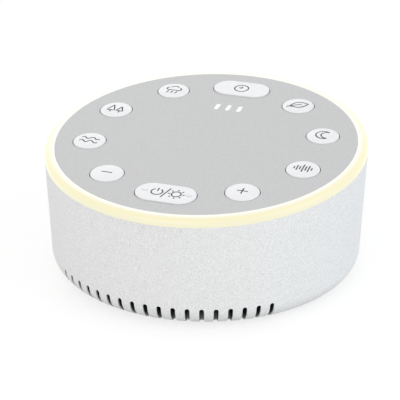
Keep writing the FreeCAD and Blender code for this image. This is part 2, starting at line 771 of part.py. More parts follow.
def build_light_ring():
    """Translucent ring: rounded shoulder, ledge for the plate and tongue inside the housing."""
    body = new_body("light_ring")
    ledge_face = -s.plate_thick
    ledge_back = ledge_face - s.ring_ledge_thick
    tongue_end = -(s.ring_depth + s.tongue_depth)
    turned(body, [
        (ring_bore, ledge_face),
        (ring_bore - s.ring_ledge, ledge_face),
        (ring_bore - s.ring_ledge, ledge_back),
        (tongue_inner, ledge_back),
        (tongue_inner, tongue_end),
        (tongue_outer, tongue_end),
        (tongue_outer, -s.ring_depth),
        (outer_radius, -s.ring_depth),
        Arc(outer_radius, -s.ring_round, s.ring_round, 1),
        (outer_radius - s.ring_round, ZERO),
        (ring_bore, ZERO),
    ])
    on_slope(body)


def post_places():
    """Centres of the plate's five posts, each midway between two keys."""
    return [around(post_circle, KEY_PITCH * (0.5 + 2 * number)) for number in range(5)]


def window_places():
    """Centres of the three indicator windows."""
    return [(s.window_spacing * number, window_place) for number in (-1, 0, 1)]


def build_top_plate():
    """Plate with the keys' openings, the windows' openings and the key board's posts."""
    body = new_body("top_plate")
    sketch = new_sketch(body)
    circle(sketch, ZERO, ZERO, plate_radius)
    pad(body, sketch, s.plate_thick, reverse=True)
    document.recompute()
    rim = edges_at(body, 0.0, plate_radius.value - 1, plate_radius.value + 1)
    round_edges(body, rim, s.plate_edge, "PartDesign::Chamfer")

    sketch = new_sketch(body)
    for step in ROUND_KEYS.values():
        circle(sketch, *key_place(step), s.key_radius + s.key_gap)
    for step in PILL_KEYS.values():
        pill(sketch, *key_place(step), s.pill_length + s.key_gap * 2, s.pill_width + s.key_gap * 2)
    for across, up in window_places():
        upright_pill(sketch, across, up, s.window_length + s.window_gap * 2,
                     s.window_width + s.window_gap * 2)
    pocket(body, sketch, s.plate_thick)

    sketch = new_sketch(body, offset=-s.key_board_depth)
    for across, up in post_places():
        circle(sketch, across, up, s.post_radius)
    pad(body, sketch, s.key_board_depth - s.plate_thick / 2)
    sketch = new_sketch(body, offset=-s.key_board_depth)
    for across, up in post_places():
        circle(sketch, across, up, s.board_screw_radius + s.screw_play)
    pocket(body, sketch, s.board_screw_length - s.board_thick + s.screw_pass, reverse=True)
    on_slope(body)


def build_indicator_windows():
    """Three plain light pipes, flush with the plate."""
    body = new_body("indicator_windows")
    sketch = new_sketch(body)
    for across, up in window_places():
        upright_pill(sketch, across, up, s.window_length, s.window_width)
    reach = s.key_board_depth - s.indicator_led_height - s.window_led_gap
    pad(body, sketch, reach, reverse=True)
    on_slope(body)


def build_round_key(name, step):
    """Turned key: crowned face, skirt, retaining flange and a stem onto its switch."""
    body = new_body(name)
    flange_top = -(s.plate_thick + s.flange_gap)
    flange_low = flange_top - s.flange_thick
    skirt_inner = s.key_radius - s.skirt_thick
    under_cap = s.key_proud - s.cap_thick
    face_radius = s.key_radius - s.key_edge
    crown_radius = (face_radius * face_radius + s.key_crown * s.key_crown) / (s.key_crown * 2)
    turned(body, [
        (ZERO, -plunger_top),
        (s.stem_radius, -plunger_top),
        (s.stem_radius, under_cap),
        (skirt_inner, under_cap),
        (skirt_inner, flange_low),
        (s.key_radius + s.flange_reach, flange_low),
        (s.key_radius + s.flange_reach, flange_top),
        (s.key_radius, flange_top),
        Arc(s.key_radius, s.key_proud - s.key_edge, s.key_edge, 1),
        Arc(face_radius, s.key_proud, crown_radius, 1),
        (ZERO, s.key_proud + s.key_crown),
    ])
    on_slope(body, *key_place(step))


def build_pill_key(name, step):
    """Pill key: the same section as a round key, drawn out along X."""
    body = new_body(name)
    flange_top = s.plate_thick + s.flange_gap
    cap_top = s.key_proud + s.key_crown / 2
    sketch = new_sketch(body, offset=cap_top)
    pill(sketch, ZERO, ZERO, s.pill_length, s.pill_width)
    pad(body, sketch, cap_top + flange_top + s.flange_thick / 2, reverse=True)
    document.recompute()
    round_edges(body, edges_at(body, cap_top.value, 0, s.pill_length.value), s.key_edge)
    sketch = new_sketch(body, offset=-flange_top)
    pill(sketch, ZERO, ZERO, s.pill_length + s.flange_reach * 2, s.pill_width + s.flange_reach * 2)
    pad(body, sketch, s.flange_thick, reverse=True)
    sketch = new_sketch(body, offset=-(flange_top + s.flange_thick))
    pill(sketch, ZERO, ZERO, s.pill_length - s.skirt_thick * 2, s.pill_width - s.skirt_thick * 2)
    pocket(body, sketch, flange_top + s.flange_thick + cap_top - s.cap_thick, reverse=True)
    sketch = new_sketch(body, offset=-plunger_top)
    circle(sketch, ZERO, ZERO, s.stem_radius)
    pad(body, sketch, plunger_top + cap_top - s.cap_thick / 2)
    on_slope(body, *key_place(step))


def build_plunger(key_name, step):
    """The switch plunger that a key's stem rests on."""
    name = key_name.replace("key_", "plunger_")
    body = new_body(name)
    sketch = new_sketch(body, offset=-plunger_top)
    circle(sketch, ZERO, ZERO, s.plunger_radius)
    pad(body, sketch, s.plunger_stick + s.plunger_depth, reverse=True)
    on_slope(body, *key_place(step))


def build_switches():
    """Ten key switches with open bores for their plungers."""
    body = new_body("tact_switches")
    sketch = new_sketch(body, offset=-s.key_board_depth)
    for step in ALL_KEYS.values():
        centred_rectangle(sketch, *key_place(step), s.switch_side, s.switch_side)
    pad(body, sketch, s.switch_height)
    sketch = new_sketch(body, offset=-switch_top)
    for step in ALL_KEYS.values():
        circle(sketch, *key_place(step), s.plunger_radius + s.plunger_gap)
    pocket(body, sketch, s.plunger_depth + s.key_travel + s.plunger_floor)
    on_slope(body)


def build_key_board():
    """Ring-shaped board under the keys."""
    body = new_body("key_board")
    sketch = new_sketch(body, offset=-s.key_board_depth)
    circle(sketch, ZERO, ZERO, key_board_radius)
    circle(sketch, ZERO, ZERO, key_board_bore)
    for across, up in post_places():
        circle(sketch, across, up, s.board_screw_radius + s.screw_pass)
    pad(body, sketch, s.board_thick, reverse=True)
    on_slope(body)


def build_key_board_screws():
    """Five screws up into the plate's posts."""
    body = new_body("key_board_screws")
    screws(body, post_places(), -key_board_under, s.board_screw_radius, s.board_screw_length,
           s.board_screw_head, s.board_head_height, head_up=False)
    on_slope(body)


def build_leds():
    """Emitters under the light ring and under the indicator windows."""
    body = new_body("ring_leds")
    sketch = new_sketch(body, offset=-s.key_board_depth)
    centred_rectangle(sketch, ZERO, ring_led_radius, s.ring_led_length, s.ring_led_depth)
    block = pad(body, sketch, s.ring_led_height)
    document.recompute()
    polar_pattern(body, block, FULL_TURN, s.ring_led_count)
    on_slope(body)

    body = new_body("indicator_leds")
    sketch = new_sketch(body, offset=-s.key_board_depth)
    for across, up in window_places():
        centred_rectangle(sketch, across, up, s.window_width, s.window_width)
    pad(body, sketch, s.indicator_led_height)
    on_slope(body)


def build_main_board():
    """Main board on the shelf's posts, with its screws and the parts soldered to it."""
    body = new_body("main_board")
    sketch = new_sketch(body, offset=board_top)
    rectangle(sketch, -s.board_half_width, s.board_half_width, board_front, board_rear)
    for across, up in main_board_places():
        circle(sketch, across, up, s.board_screw_radius + s.screw_pass)
    pad(body, sketch, s.board_thick, reverse=True)

    screws(new_body("main_board_screws"), main_board_places(), board_top, s.board_screw_radius,
           s.board_screw_length, s.board_screw_head, s.board_head_height, head_up=True)

    on_board("sound_chip", -s.board_half_width / 2, chip_place, s.chip_side, s.chip_side,
             s.chip_thick)
    on_board("main_board_socket", s.ribbon_side, main_socket_place, s.socket_width,
             s.socket_depth, s.socket_height)
    on_board("lead_socket", -s.terminal_side, lead_socket_place, s.terminal_width,
             s.terminal_depth, s.socket_height)

    body = new_body("capacitors")
    sketch = new_sketch(body, offset=board_top)
    for number in (-1, 0):
        circle(sketch, s.capacitor_side + s.capacitor_spacing * number, capacitor_place,
               s.capacitor_radius)
    pad(body, sketch, s.capacitor_height)


def on_board(name, across, up, width, depth, height):
    """A block soldered to the main board."""
    body = new_body(name)
    sketch = new_sketch(body, offset=board_top)
    centred_rectangle(sketch, across, up, width, depth)
    pad(body, sketch, height)


def build_supply_socket():
    """Supply socket behind the inlet, with its centre pin."""
    face = inlet_pad_face - s.jack_gap
    body = new_body("dc_jack")
    sketch = new_sketch(body, "XZ_Plane", -face)
    rectangle(sketch, -s.jack_width / 2, s.jack_width / 2, board_top, board_top + s.jack_height)
    pad(body, sketch, s.jack_length)
    sketch = new_sketch(body, "XZ_Plane", -face)
    circle(sketch, ZERO, inlet_axis, s.jack_bore)
    pocket(body, sketch, s.jack_bore_depth, reverse=True)

    body = new_body("jack_pin")
    sketch = new_sketch(body, "XZ_Plane", -(face - s.jack_bore_depth))
    circle(sketch, ZERO, inlet_axis, s.jack_pin_radius)
    pad(body, sketch, s.jack_pin_length, reverse=True)


def build_ribbon():
    """Socket under the key board and the flat cable from it down to the main board."""
    body = new_body("key_board_socket")
    sketch = new_sketch(body, offset=-key_board_under)
    centred_rectangle(sketch, s.ribbon_side, key_socket_place, s.socket_width, s.socket_depth)
    pad(body, sketch, s.socket_height, reverse=True)
    on_slope(body)

    tilt = s.top_tilt
    depth = key_board_under + s.socket_height
    upper_y = key_socket_place * tilt.cosine() + depth * tilt.sine()
    upper_z = s.top_height + key_socket_place * tilt.sine() - depth * tilt.cosine()
    half = s.ribbon_thick / 2
    # The cable's square end meets the sloping socket at its rear corner.
    corner_z = upper_z - half * tilt.sine() / tilt.cosine()
    body = new_body("ribbon_cable")
    sketch = new_sketch(body, "YZ_Plane", s.ribbon_side - s.ribbon_width / 2)
    outline(sketch, [
        (main_socket_place - half, board_top + s.socket_height),
        (main_socket_place + half, board_top + s.socket_height),
        (upper_y + half, corner_z),
        (upper_y - half, corner_z),
    ])
    pad(body, sketch, s.ribbon_width)


def speaker_places():
    """Centres of the speaker's four screws."""
    return four_places(speaker_post_circle, Size(45.0, "45"))


def build_speaker_frame():
    """Basket of the speaker: flange, sloping wall with windows and the magnet's seat."""
    body = new_body("speaker_frame")
    turned(body, [
        (speaker_opening, flange_face),
        (s.speaker_radius, flange_face),
        (s.speaker_radius, flange_back),
        (basket_shoulder, flange_back),
        (basket_foot, basket_top),
        (basket_hole, basket_top),
        (basket_hole, basket_seat),
        (basket_foot - s.basket_wall, basket_seat),
        (speaker_opening, flange_back + s.frame_sheet),
    ])
    sketch = new_sketch(body, offset=flange_face)
    for across, up in speaker_places():
        circle(sketch, across, up, s.speaker_screw_radius + s.screw_pass)
    pocket(body, sketch, s.frame_sheet * 2, reverse=True)
    sketch = new_sketch(body, offset=flange_back + s.frame_sheet * 1.5)
    rectangle(sketch, -s.window_half, s.window_half, window_inner, window_outer)
    window = pocket(body, sketch, s.basket_depth, reverse=True)
    document.recompute()
    polar_pattern(body, window, FULL_TURN, s.basket_windows)


def build_speaker_mounting():
    """Gasket and screws between the speaker and its posts."""
    body = new_body("speaker_gasket")
    sketch = new_sketch(body, offset=speaker_rise)
    circle(sketch, ZERO, ZERO, s.speaker_radius)
    circle(sketch, ZERO, ZERO, gasket_bore)
    for across, up in speaker_places():
        circle(sketch, across, up, s.speaker_screw_radius + s.screw_pass)
    pad(body, sketch, s.gasket_thick)
    screws(new_body("speaker_screws"), speaker_places(), flange_back, s.speaker_screw_radius,
           s.speaker_screw_length, s.speaker_screw_head, s.speaker_head_height, head_up=True)


def build_magnet_system():
    """Washer, magnet and yoke, stacked on the basket."""
    for name, bore, radius, low, high in (
        ("speaker_washer", washer_bore, s.washer_radius, basket_top, washer_top),
        ("speaker_magnet", magnet_bore, magnet_radius, washer_top, magnet_top),
    ):
        turned(new_body(name), [(bore, low), (radius, low), (radius, high), (bore, high)])
    turned(new_body("speaker_yoke"), [
        (ZERO, basket_top),
        (pole_radius, basket_top),
        (pole_radius, magnet_top),
        (yoke_radius, magnet_top),
        (yoke_radius, magnet_top + s.yoke_thick),
        (ZERO, magnet_top + s.yoke_thick),
    ])


def cone_face(radius):
    """Height of the cone's front face at a radius."""
    share = (radius - s.coil_radius) / (cone_radius - s.coil_radius)
    return cone_neck + (cone_rim - cone_neck) * share


def build_cone():
    """Cone, dust cap and voice coil, which move together."""
    turned(new_body("speaker_cone"), [
        (s.coil_radius, cone_neck),
        (cone_radius, cone_rim),
        (cone_radius, cone_rim + s.cone_sheet),
        (s.coil_radius, cone_neck + s.cone_sheet),
    ])
    coil_inner = s.coil_radius - s.coil_wall
    turned(new_body("voice_coil"), [
        (coil_inner, coil_low),
        (s.coil_radius, coil_low),
        (s.coil_radius, coil_low + s.coil_height),
        (coil_inner, coil_low + s.coil_height),
    ])
    rim, rim_z = s.dust_cap_radius, cone_face(s.dust_cap_radius) - s.dust_cap_seat
    inner = rim - s.dust_cap_sheet
    inner_z = cone_face(inner) - s.dust_cap_seat
    low = rim_z - s.dust_cap_rise
    rise, inner_rise = s.dust_cap_rise, inner_z - low - s.dust_cap_sheet
    turned(new_body("dust_cap"), [
        Arc(ZERO, low, (rim * rim + rise * rise) / (rise * 2), 1),
        (rim, rim_z),
        Arc(inner, inner_z, (inner * inner + inner_rise * inner_rise) / (inner_rise * 2), -1),
        (ZERO, low + s.dust_cap_sheet),
    ])


def build_suspension():
    """Half-roll surround round the cone's rim and the flat spider round the coil."""
    middle = (cone_radius + speaker_opening) / 2
    roll = (speaker_opening - cone_radius) / 2
    inner_roll = roll - s.surround_sheet
    low, high = cone_rim, cone_rim + s.cone_sheet
    turned(new_body("speaker_surround"), [
        (middle - roll, high),
        Arc(middle - roll, low, roll, 1),
        Arc(middle, low - roll, roll, 1),
        (middle + roll, low),
        (middle + roll, high),
        (middle + inner_roll, high),
        Arc(middle + inner_roll, low, inner_roll, -1),
        Arc(middle, low - inner_roll, inner_roll, -1),
        (middle - inner_roll, low),
        (middle - inner_roll, high),
    ])
    high = spider_place + s.spider_sheet
    foot = basket_foot - s.basket_wall
    share = (basket_seat - high) / (basket_seat - flange_back - s.frame_sheet)
    spider_radius = foot + (speaker_opening - foot) * share - s.spider_gap
    turned(new_body("speaker_spider"), [
        (s.coil_radius, spider_place),
        (spider_radius, spider_place),
        (spider_radius, high),
        (s.coil_radius, high),
    ])


def build_leads():
    """Terminal strip on the speaker's flange and two leads to the main board."""
    body = new_body("speaker_terminal")
    sketch = new_sketch(body, offset=flange_back)
    centred_rectangle(sketch, -s.terminal_side, terminal_place, s.terminal_width,
                      s.terminal_depth)
    pad(body, sketch, s.terminal_thick)

    body = new_body("speaker_leads")
    low = flange_back + s.terminal_thick
    high = low + s.lead_rise
    end = board_top + s.socket_height
    bend = s.lead_bend
    for side in (-0.5, 0.5):
        across = s.lead_spacing * side - s.terminal_side
        ring = new_sketch(body, offset=low)
        circle(ring, across, terminal_place, s.lead_radius)
        path = new_sketch(body, "YZ_Plane", across)
        outline(path, [
            (terminal_place, low),
            Arc(terminal_place, high - bend, bend, -1),
            (terminal_place + bend, high),
            Arc(lead_socket_place - bend, high, bend, -1),
            (lead_socket_place, high - bend),
            (lead_socket_place, end),
        ], closed=False)
        lead = body.newObject("PartDesign::AdditivePipe", "lead")
        lead.Profile = ring
        lead.Spine = path
        document.recompute()


def build_all():
    """Every sub-part in turn."""
    build_housing()
    build_base_cover()
    build_feet()
    build_base_screws()
    build_light_ring()
    build_top_plate()
    build_indicator_windows()
    for name, step in PILL_KEYS.items():
        build_pill_key(name, step)
    for name, step in ROUND_KEYS.items():
        build_round_key(name, step)
    for name, step in ALL_KEYS.items():
        build_plunger(name, step)
    build_switches()
    build_key_board()
    build_key_board_screws()
    build_leds()
    build_main_board()
    build_supply_socket()
    build_ribbon()
    build_speaker_frame()
    build_speaker_mounting()
    build_magnet_system()
    build_cone()
    build_suspension()
    build_leads()


CUTS = ("Pocket", "Groove", "SubtractiveLoft", "Fillet", "Chamfer")
ADDITIONS = ("Pad", "Revolution", "AdditiveLoft", "AdditivePipe")


def feature_faults(body):
    """Features of a body that are not valid, or that add or remove nothing."""
    faults, before = [], 0.0
    for feature in body.Group:
        kind = feature.TypeId.split("::")[-1]
        if kind not in CUTS + ADDITIONS + ("PolarPattern",):
            continue
        shape = feature.Shape
        if shape.isNull() or not shape.isValid():
            faults.append(f"{feature.Name}: no valid shape")
            continue
        grown = shape.Volume - before
        if (kind in CUTS and grown >= 0) or (kind in ADDITIONS and grown <= 0):
            faults.append(f"{feature.Name}: changes the volume by {grown:.3f}")
        before = shape.Volume
    return faults


def check_document():
    """Stop if any feature failed or any sub-part is empty or not valid."""
    faults = [f"{item.Name}: {item.State}" for item in document.Objects
              if "Invalid" in item.State or "Error" in item.State]
    for body in sub_parts():
        faults += feature_faults(body)
        if body.Shape.isNull() or not body.Shape.isValid() or not body.Shape.Solids:
            faults.append(f"{body.Label}: no valid solid")
    if faults:
        raise RuntimeError("; ".join(faults))


def sub_parts():
    """The document's bodies, one for each node."""
    return [item for item in document.Objects if item.TypeId == "PartDesign::Body"]


def export_parts():
    """Write each sub-part to its own file."""
    os.makedirs("parts", exist_ok=True)
    for body in sub_parts():
        body.Shape.exportStep(os.path.join("parts", body.Label + ".step"))
        print(f"{body.Label}: {len(body.Shape.Solids)} solids, {body.Shape.Volume:.1f} mm3")


build_all()
document.recompute()
check_document()
export_parts()
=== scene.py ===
"""Looks of a round bedside sound machine: finishes, printed key signs, screws, lights and camera.

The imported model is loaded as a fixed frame: origin under the feet, +Z up, front towards -Y. Lengths
are metres, and those in millimetres are written times MM.
"""
import json
import logging
import math
from collections.abc import Callable, Iterable, Sequence
from dataclasses import dataclass, field
from enum import Enum
from functools import cache

import bmesh
import bpy
from bpy.types import Material, Mesh, Node, NodeTree, Object
from mathutils import Matrix, Vector


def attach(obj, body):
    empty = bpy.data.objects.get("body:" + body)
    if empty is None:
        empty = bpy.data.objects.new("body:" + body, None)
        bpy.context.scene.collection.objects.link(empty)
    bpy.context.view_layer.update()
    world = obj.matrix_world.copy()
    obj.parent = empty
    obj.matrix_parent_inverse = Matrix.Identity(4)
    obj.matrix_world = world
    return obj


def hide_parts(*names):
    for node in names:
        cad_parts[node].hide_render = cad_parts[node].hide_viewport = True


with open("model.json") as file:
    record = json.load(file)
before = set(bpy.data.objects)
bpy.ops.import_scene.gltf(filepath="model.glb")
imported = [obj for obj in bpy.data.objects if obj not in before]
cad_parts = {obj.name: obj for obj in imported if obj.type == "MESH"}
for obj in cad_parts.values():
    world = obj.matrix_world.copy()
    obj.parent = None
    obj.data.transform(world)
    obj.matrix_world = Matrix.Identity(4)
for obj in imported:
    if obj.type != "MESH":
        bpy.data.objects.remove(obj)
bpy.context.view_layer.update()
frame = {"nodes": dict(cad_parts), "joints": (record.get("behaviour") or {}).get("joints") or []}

log = logging.getLogger("sound_machine")

MM = 0.001
ROOT_BODY = "chassis"

Point = tuple[float, float]
Colour = tuple[float, float, float]
Output = tuple[Node, str | int]

# Most of a cloudy noise lies between these values.
NOISE_SPAN = (0.3, 0.7)


def linear(shade: Colour) -> tuple[float, float, float, float]:
    """Turn an 8-bit screen colour into the linear colour that a shader takes.

    Args:
        shade: Red, green and blue from 0 to 255.

    Returns:
        Linear red, green and blue with full alpha.
    """
    parts = [value / 255 for value in shade]
    curved = [value / 12.92 if value <= 0.04045 else ((value + 0.055) / 1.055) ** 2.4
              for value in parts]
    return (*curved, 1.0)


def scaled(shade: Colour, share: float) -> Colour:
    """A screen colour made darker or paler by a share, kept within 0 to 255."""
    return tuple(min(255.0, max(0.0, value * share)) for value in shade)


class Tree:
    """A node tree filled by short calls."""

    def __init__(self, tree: NodeTree) -> None:
        """Keep the tree that the nodes go into."""
        self.tree = tree

    def add(self, kind: str, settings: dict | None = None, **values: object) -> Node:
        """Add one node.

        Args:
            kind: Blender's name for the node's type.
            settings: Properties of the node, such as its operation.
            values: Unlinked input values by socket name, with _ for a space.

        Returns:
            The new node.
        """
        node = self.tree.nodes.new(kind)
        for name, value in (settings or {}).items():
            setattr(node, name, value)
        return self.fill(node, **values)

    def fill(self, node: Node, **values: object) -> Node:
        """Set a node's unlinked inputs by socket name, with _ for a space."""
        for name, value in values.items():
            node.inputs[name.replace("_", " ")].default_value = value
        return node

    def link(self, source: Node, out: str | int, target: Node,
             into: str | int) -> None:
        """Join one node's output to another's input, each by name or number."""
        self.tree.links.new(source.outputs[out], target.inputs[into])

    def after(self, source: Node, out: str | int, kind: str, into: str | int,
              settings: dict | None = None, **values: object) -> Node:
        """Add one node that another feeds.

        Args:
            source: Node that feeds the new one.
            out: Its output.
            kind: Blender's name for the new node's type.
            into: The new node's input.
            settings: Properties of the new node.
            values: Its unlinked input values by socket name, with _ for a space.

        Returns:
            The new node.
        """
        node = self.add(kind, settings, **values)
        self.link(source, out, node, into)
        return node

    def math(self, operation: str, first: Output | float, second: Output | float = 0.0,
             third: Output | float = 0.0) -> Output:
        """Add a math node whose inputs are numbers or other nodes' outputs.

        Args:
            operation: Blender's name of the operation.
            first: First input.
            second: Second input, where the operation has one.
            third: Third input, where the operation has one.

        Returns:
            The node and its output, as the next call takes them.
        """
        node = self.add("ShaderNodeMath", {"operation": operation})
        for place, given in enumerate((first, second, third)):
            if isinstance(given, tuple):
                self.link(given[0], given[1], node, place)
            else:
                node.inputs[place].default_value = given
        return node, 0

    def square(self, parts: Node) -> Output:
        """Square of the distance from the Z axis, from a node that gives X and Y."""
        across = self.math("MULTIPLY", (parts, "X"), (parts, "X"))
        return self.math("MULTIPLY_ADD", (parts, "Y"), (parts, "Y"), across)


class Sheet(Tree):
    """The node tree of one material, with its shader and the object's own coordinates."""

    def __init__(self, name: str) -> None:
        """Make an empty material with one shader."""
        self.material = bpy.data.materials.new(name)
        self.material.use_nodes = True
        super().__init__(self.material.node_tree)
        self.tree.nodes.clear()
        self.shader = self.add("ShaderNodeBsdfPrincipled")
        self.after(self.shader, "BSDF", "ShaderNodeOutputMaterial", "Surface")
        self.place = self.add("ShaderNodeTexCoord")

    def placed(self, kind: str, settings: dict | None = None, **values: object) -> Node:
        """Add one node that reads the object's own coordinates."""
        return self.after(self.place, "Object", kind, "Vector", settings, **values)

    def noise(self, size: float, detail: float = 3.0, roughness: float = 0.6,
              stretch: Colour = (1.0, 1.0, 1.0)) -> Node:
        """Cloudy noise on the object's own coordinates.

        Args:
            size: Length of one feature.
            detail: Number of finer layers.
            roughness: Strength of the finer layers.
            stretch: Scale of the coordinates along X, Y and Z; under 1 draws features out.

        Returns:
            The noise node.
        """
        mapping = self.placed("ShaderNodeMapping", Scale=stretch)
        return self.after(mapping, "Vector", "ShaderNodeTexNoise", "Vector", Scale=1 / size,
                          Detail=detail, Roughness=roughness)

    def ramp(self, source: Node, out: str | int,
             stops: Sequence[tuple[float, Colour]]) -> Node:
        """Colours along a value.

        Args:
            source: Node that gives the value.
            out: Its output.
            stops: Position from 0 to 1 and screen colour of each stop.

        Returns:
            The ramp node.
        """
        ramp = self.after(source, out, "ShaderNodeValToRGB", "Fac")
        marks = ramp.color_ramp.elements
        while len(marks) < len(stops):
            marks.new(0.5)
        for mark, (position, shade) in zip(marks, stops):
            mark.position = position
            mark.color = linear(shade)
        return ramp

    def spread(self, source: Node, out: str | int, low: float, high: float,
               start: float = NOISE_SPAN[0], end: float = NOISE_SPAN[1]) -> Node:
        """Bring a value between start and end to lie between low and high."""
        return self.after(source, out, "ShaderNodeMapRange", "Value", From_Min=start,
                          From_Max=end, To_Min=low, To_Max=high)

    def bump(self, source: Node, out: str | int, height: float,
             under: Node | None = None) -> Node:
        """Relief from a pattern.

        Args:
            source: Node that gives the height pattern.
            out: Its output.
            height: Depth of the relief.
            under: Bump node of a coarser relief that this one lies on.

        Returns:
            The bump node, linked to the shader.
        """
        node = self.after(source, out, "ShaderNodeBump", "Height", Strength=1.0, Distance=height)
        if under is not None:
            self.link(under, "Normal", node, "Normal")
        self.link(node, "Normal", self.shader, "Normal")
        return node


@dataclass(frozen=True)
class Finish:
    """A finish: one base colour with cloudy variation, fine relief and uneven gloss.

    Attributes:
        name: Name of the material.
        shade: Screen colour of the surface.
        roughness: Middle of the roughness.
        variation: Share by which the colour varies.
        patch: Size of a patch of colour.
        grain: Size of the relief's grain.
        relief: Depth of the relief.
        metallic: 1 for bare metal.
        uneven: How far the roughness strays from its middle.
    """

    name: str
    shade: Colour
    roughness: float = 0.5
    variation: float = 0.03
    patch: float = 4 * MM
    grain: float = 0.3 * MM
    relief: float = 0.01 * MM
    metallic: float = 0.0
    uneven: float = 0.05

    @cache
    def material(self) -> Material:
        """Make the material: colour, gloss and relief."""
        sheet = Sheet(self.name)
        sheet.fill(sheet.shader, Metallic=self.metallic)
        sheet.link(*self.colour(sheet), sheet.shader, "Base Color")
        self.gloss(sheet)
        self.surface(sheet)
        return sheet.material

    def colour(self, sheet: Sheet) -> Output:
        """Vary the base colour in soft patches."""
        tones = (scaled(self.shade, 1 - self.variation), scaled(self.shade, 1 + self.variation))
        patches = sheet.noise(self.patch)
        return sheet.ramp(patches, "Fac", tuple(zip(NOISE_SPAN, tones))), "Color"

    def gloss(self, sheet: Sheet) -> None:
        """Vary the roughness a little, in patches a third as large."""
        patches = sheet.noise(self.patch / 3)
        spread = sheet.spread(patches, "Fac", self.roughness - self.uneven,
                              self.roughness + self.uneven)
        sheet.link(spread, "Result", sheet.shader, "Roughness")

    def surface(self, sheet: Sheet) -> None:
        """Give the surface its fine grain."""
        sheet.bump(sheet.noise(self.grain, detail=2.0), "Fac", self.relief)


@dataclass(frozen=True)
class Speckled(Finish):
    """Moulded plastic with fine pale and dark specks.

    Attributes:
        speck: Size of a speck.
        contrast: Share by which the specks differ from the ground.
        bands: Values of the noise at which its four tones lie.
    """

    speck: float = 0.55 * MM
    contrast: float = 0.045
    bands: tuple[float, ...] = (0.34, 0.46, 0.54, 0.66)

    def colour(self, sheet: Sheet) -> Output:
        """Pale and dark specks on the ground colour."""
        fine = sheet.noise(self.speck, detail=4.0, roughness=0.75)
        shares = (-self.contrast, -self.contrast / 4, self.contrast / 4, self.contrast)
        tones = [scaled(self.shade, 1 + share) for share in shares]
        return sheet.ramp(fine, "Fac", tuple(zip(self.bands, tones))), "Color"


@dataclass(frozen=True)
class Shell(Speckled):
    """Speckled plastic with painted shade inside: dark below the outer skin, and paler grey low in
    the vent slots.

    Attributes:
        interior_shade: Screen colour of the painted shade inside the wall.
        slot_shade: Screen colour of the paler painted shade in the lower part of the vent slots.
        rounding: Radius of the rounded lower edge.
        middle: Radius and height of that rounding's centre.
        lean: How much the wall leans out for its height.
        skin: Depth below the outer skin at which the painted shade begins.
        fade: Distance over which the painted shade deepens.
        crumb: Size of the unevenness along the painted shade's edge.
        underside: Height of the housing's underside above the table.
        rise: Height above it over which the paler painted shade gives way to the darker.
        shade_deepens: Shares of that height between which it does.
    """

    # Painted shade: the wall's inside is dark, and paler grey low in the vent slots.
    interior_shade: Colour = (13, 13, 14)
    slot_shade: Colour = (150, 151, 154)
    rounding: float = 8.7 * MM
    middle: Point = (59.5 * MM, 9.9 * MM)
    lean: float = 0.04
    skin: float = 0.35 * MM
    fade: float = 0.4 * MM
    crumb: float = 0.6 * MM
    underside: float = 1.2 * MM
    rise: float = 6.0 * MM
    shade_deepens: Point = (0.05, 0.72)

    def colour(self, sheet: Sheet) -> Output:
        """Specks outside, and painted shade from a small depth below the outer skin."""
        outside = super().colour(sheet)
        parts = sheet.placed("ShaderNodeSeparateXYZ")
        radius = sheet.math("SQRT", sheet.square(parts))
        above = sheet.math("SUBTRACT", (parts, "Z"), self.middle[1])
        leaning = sheet.math("MULTIPLY", sheet.math("MAXIMUM", above, 0.0), self.lean)
        out = sheet.math("SUBTRACT", sheet.math("SUBTRACT", radius, self.middle[0]), leaning)
        out = sheet.math("MAXIMUM", out, 0.0)
        down = sheet.math("MINIMUM", above, 0.0)
        square = sheet.math("MULTIPLY_ADD", down, down, sheet.math("MULTIPLY", out, out))
        depth = sheet.math("SUBTRACT", self.rounding, sheet.math("SQRT", square))
        ragged = sheet.math("MULTIPLY_ADD", (sheet.noise(self.crumb), "Fac"), self.fade, depth)
        # Painted shade: past a small depth below the outer skin, the colour turns to the shade tones.
        shaded = sheet.spread(*ragged, 0.0, 1.0, self.skin + 0.5 * self.fade,
                               self.skin + 1.5 * self.fade)
        high = sheet.spread(parts, "Z", 0.0, 1.0, self.underside, self.underside + self.rise)
        tone = sheet.ramp(high, "Result", tuple(zip(self.shade_deepens, (self.slot_shade, self.interior_shade))))
        mix = sheet.after(shaded, "Result", "ShaderNodeMix", 0, {"data_type": "RGBA"})
        sheet.link(*outside, mix, 6)
        sheet.link(tone, "Color", mix, 7)
        return mix, 2


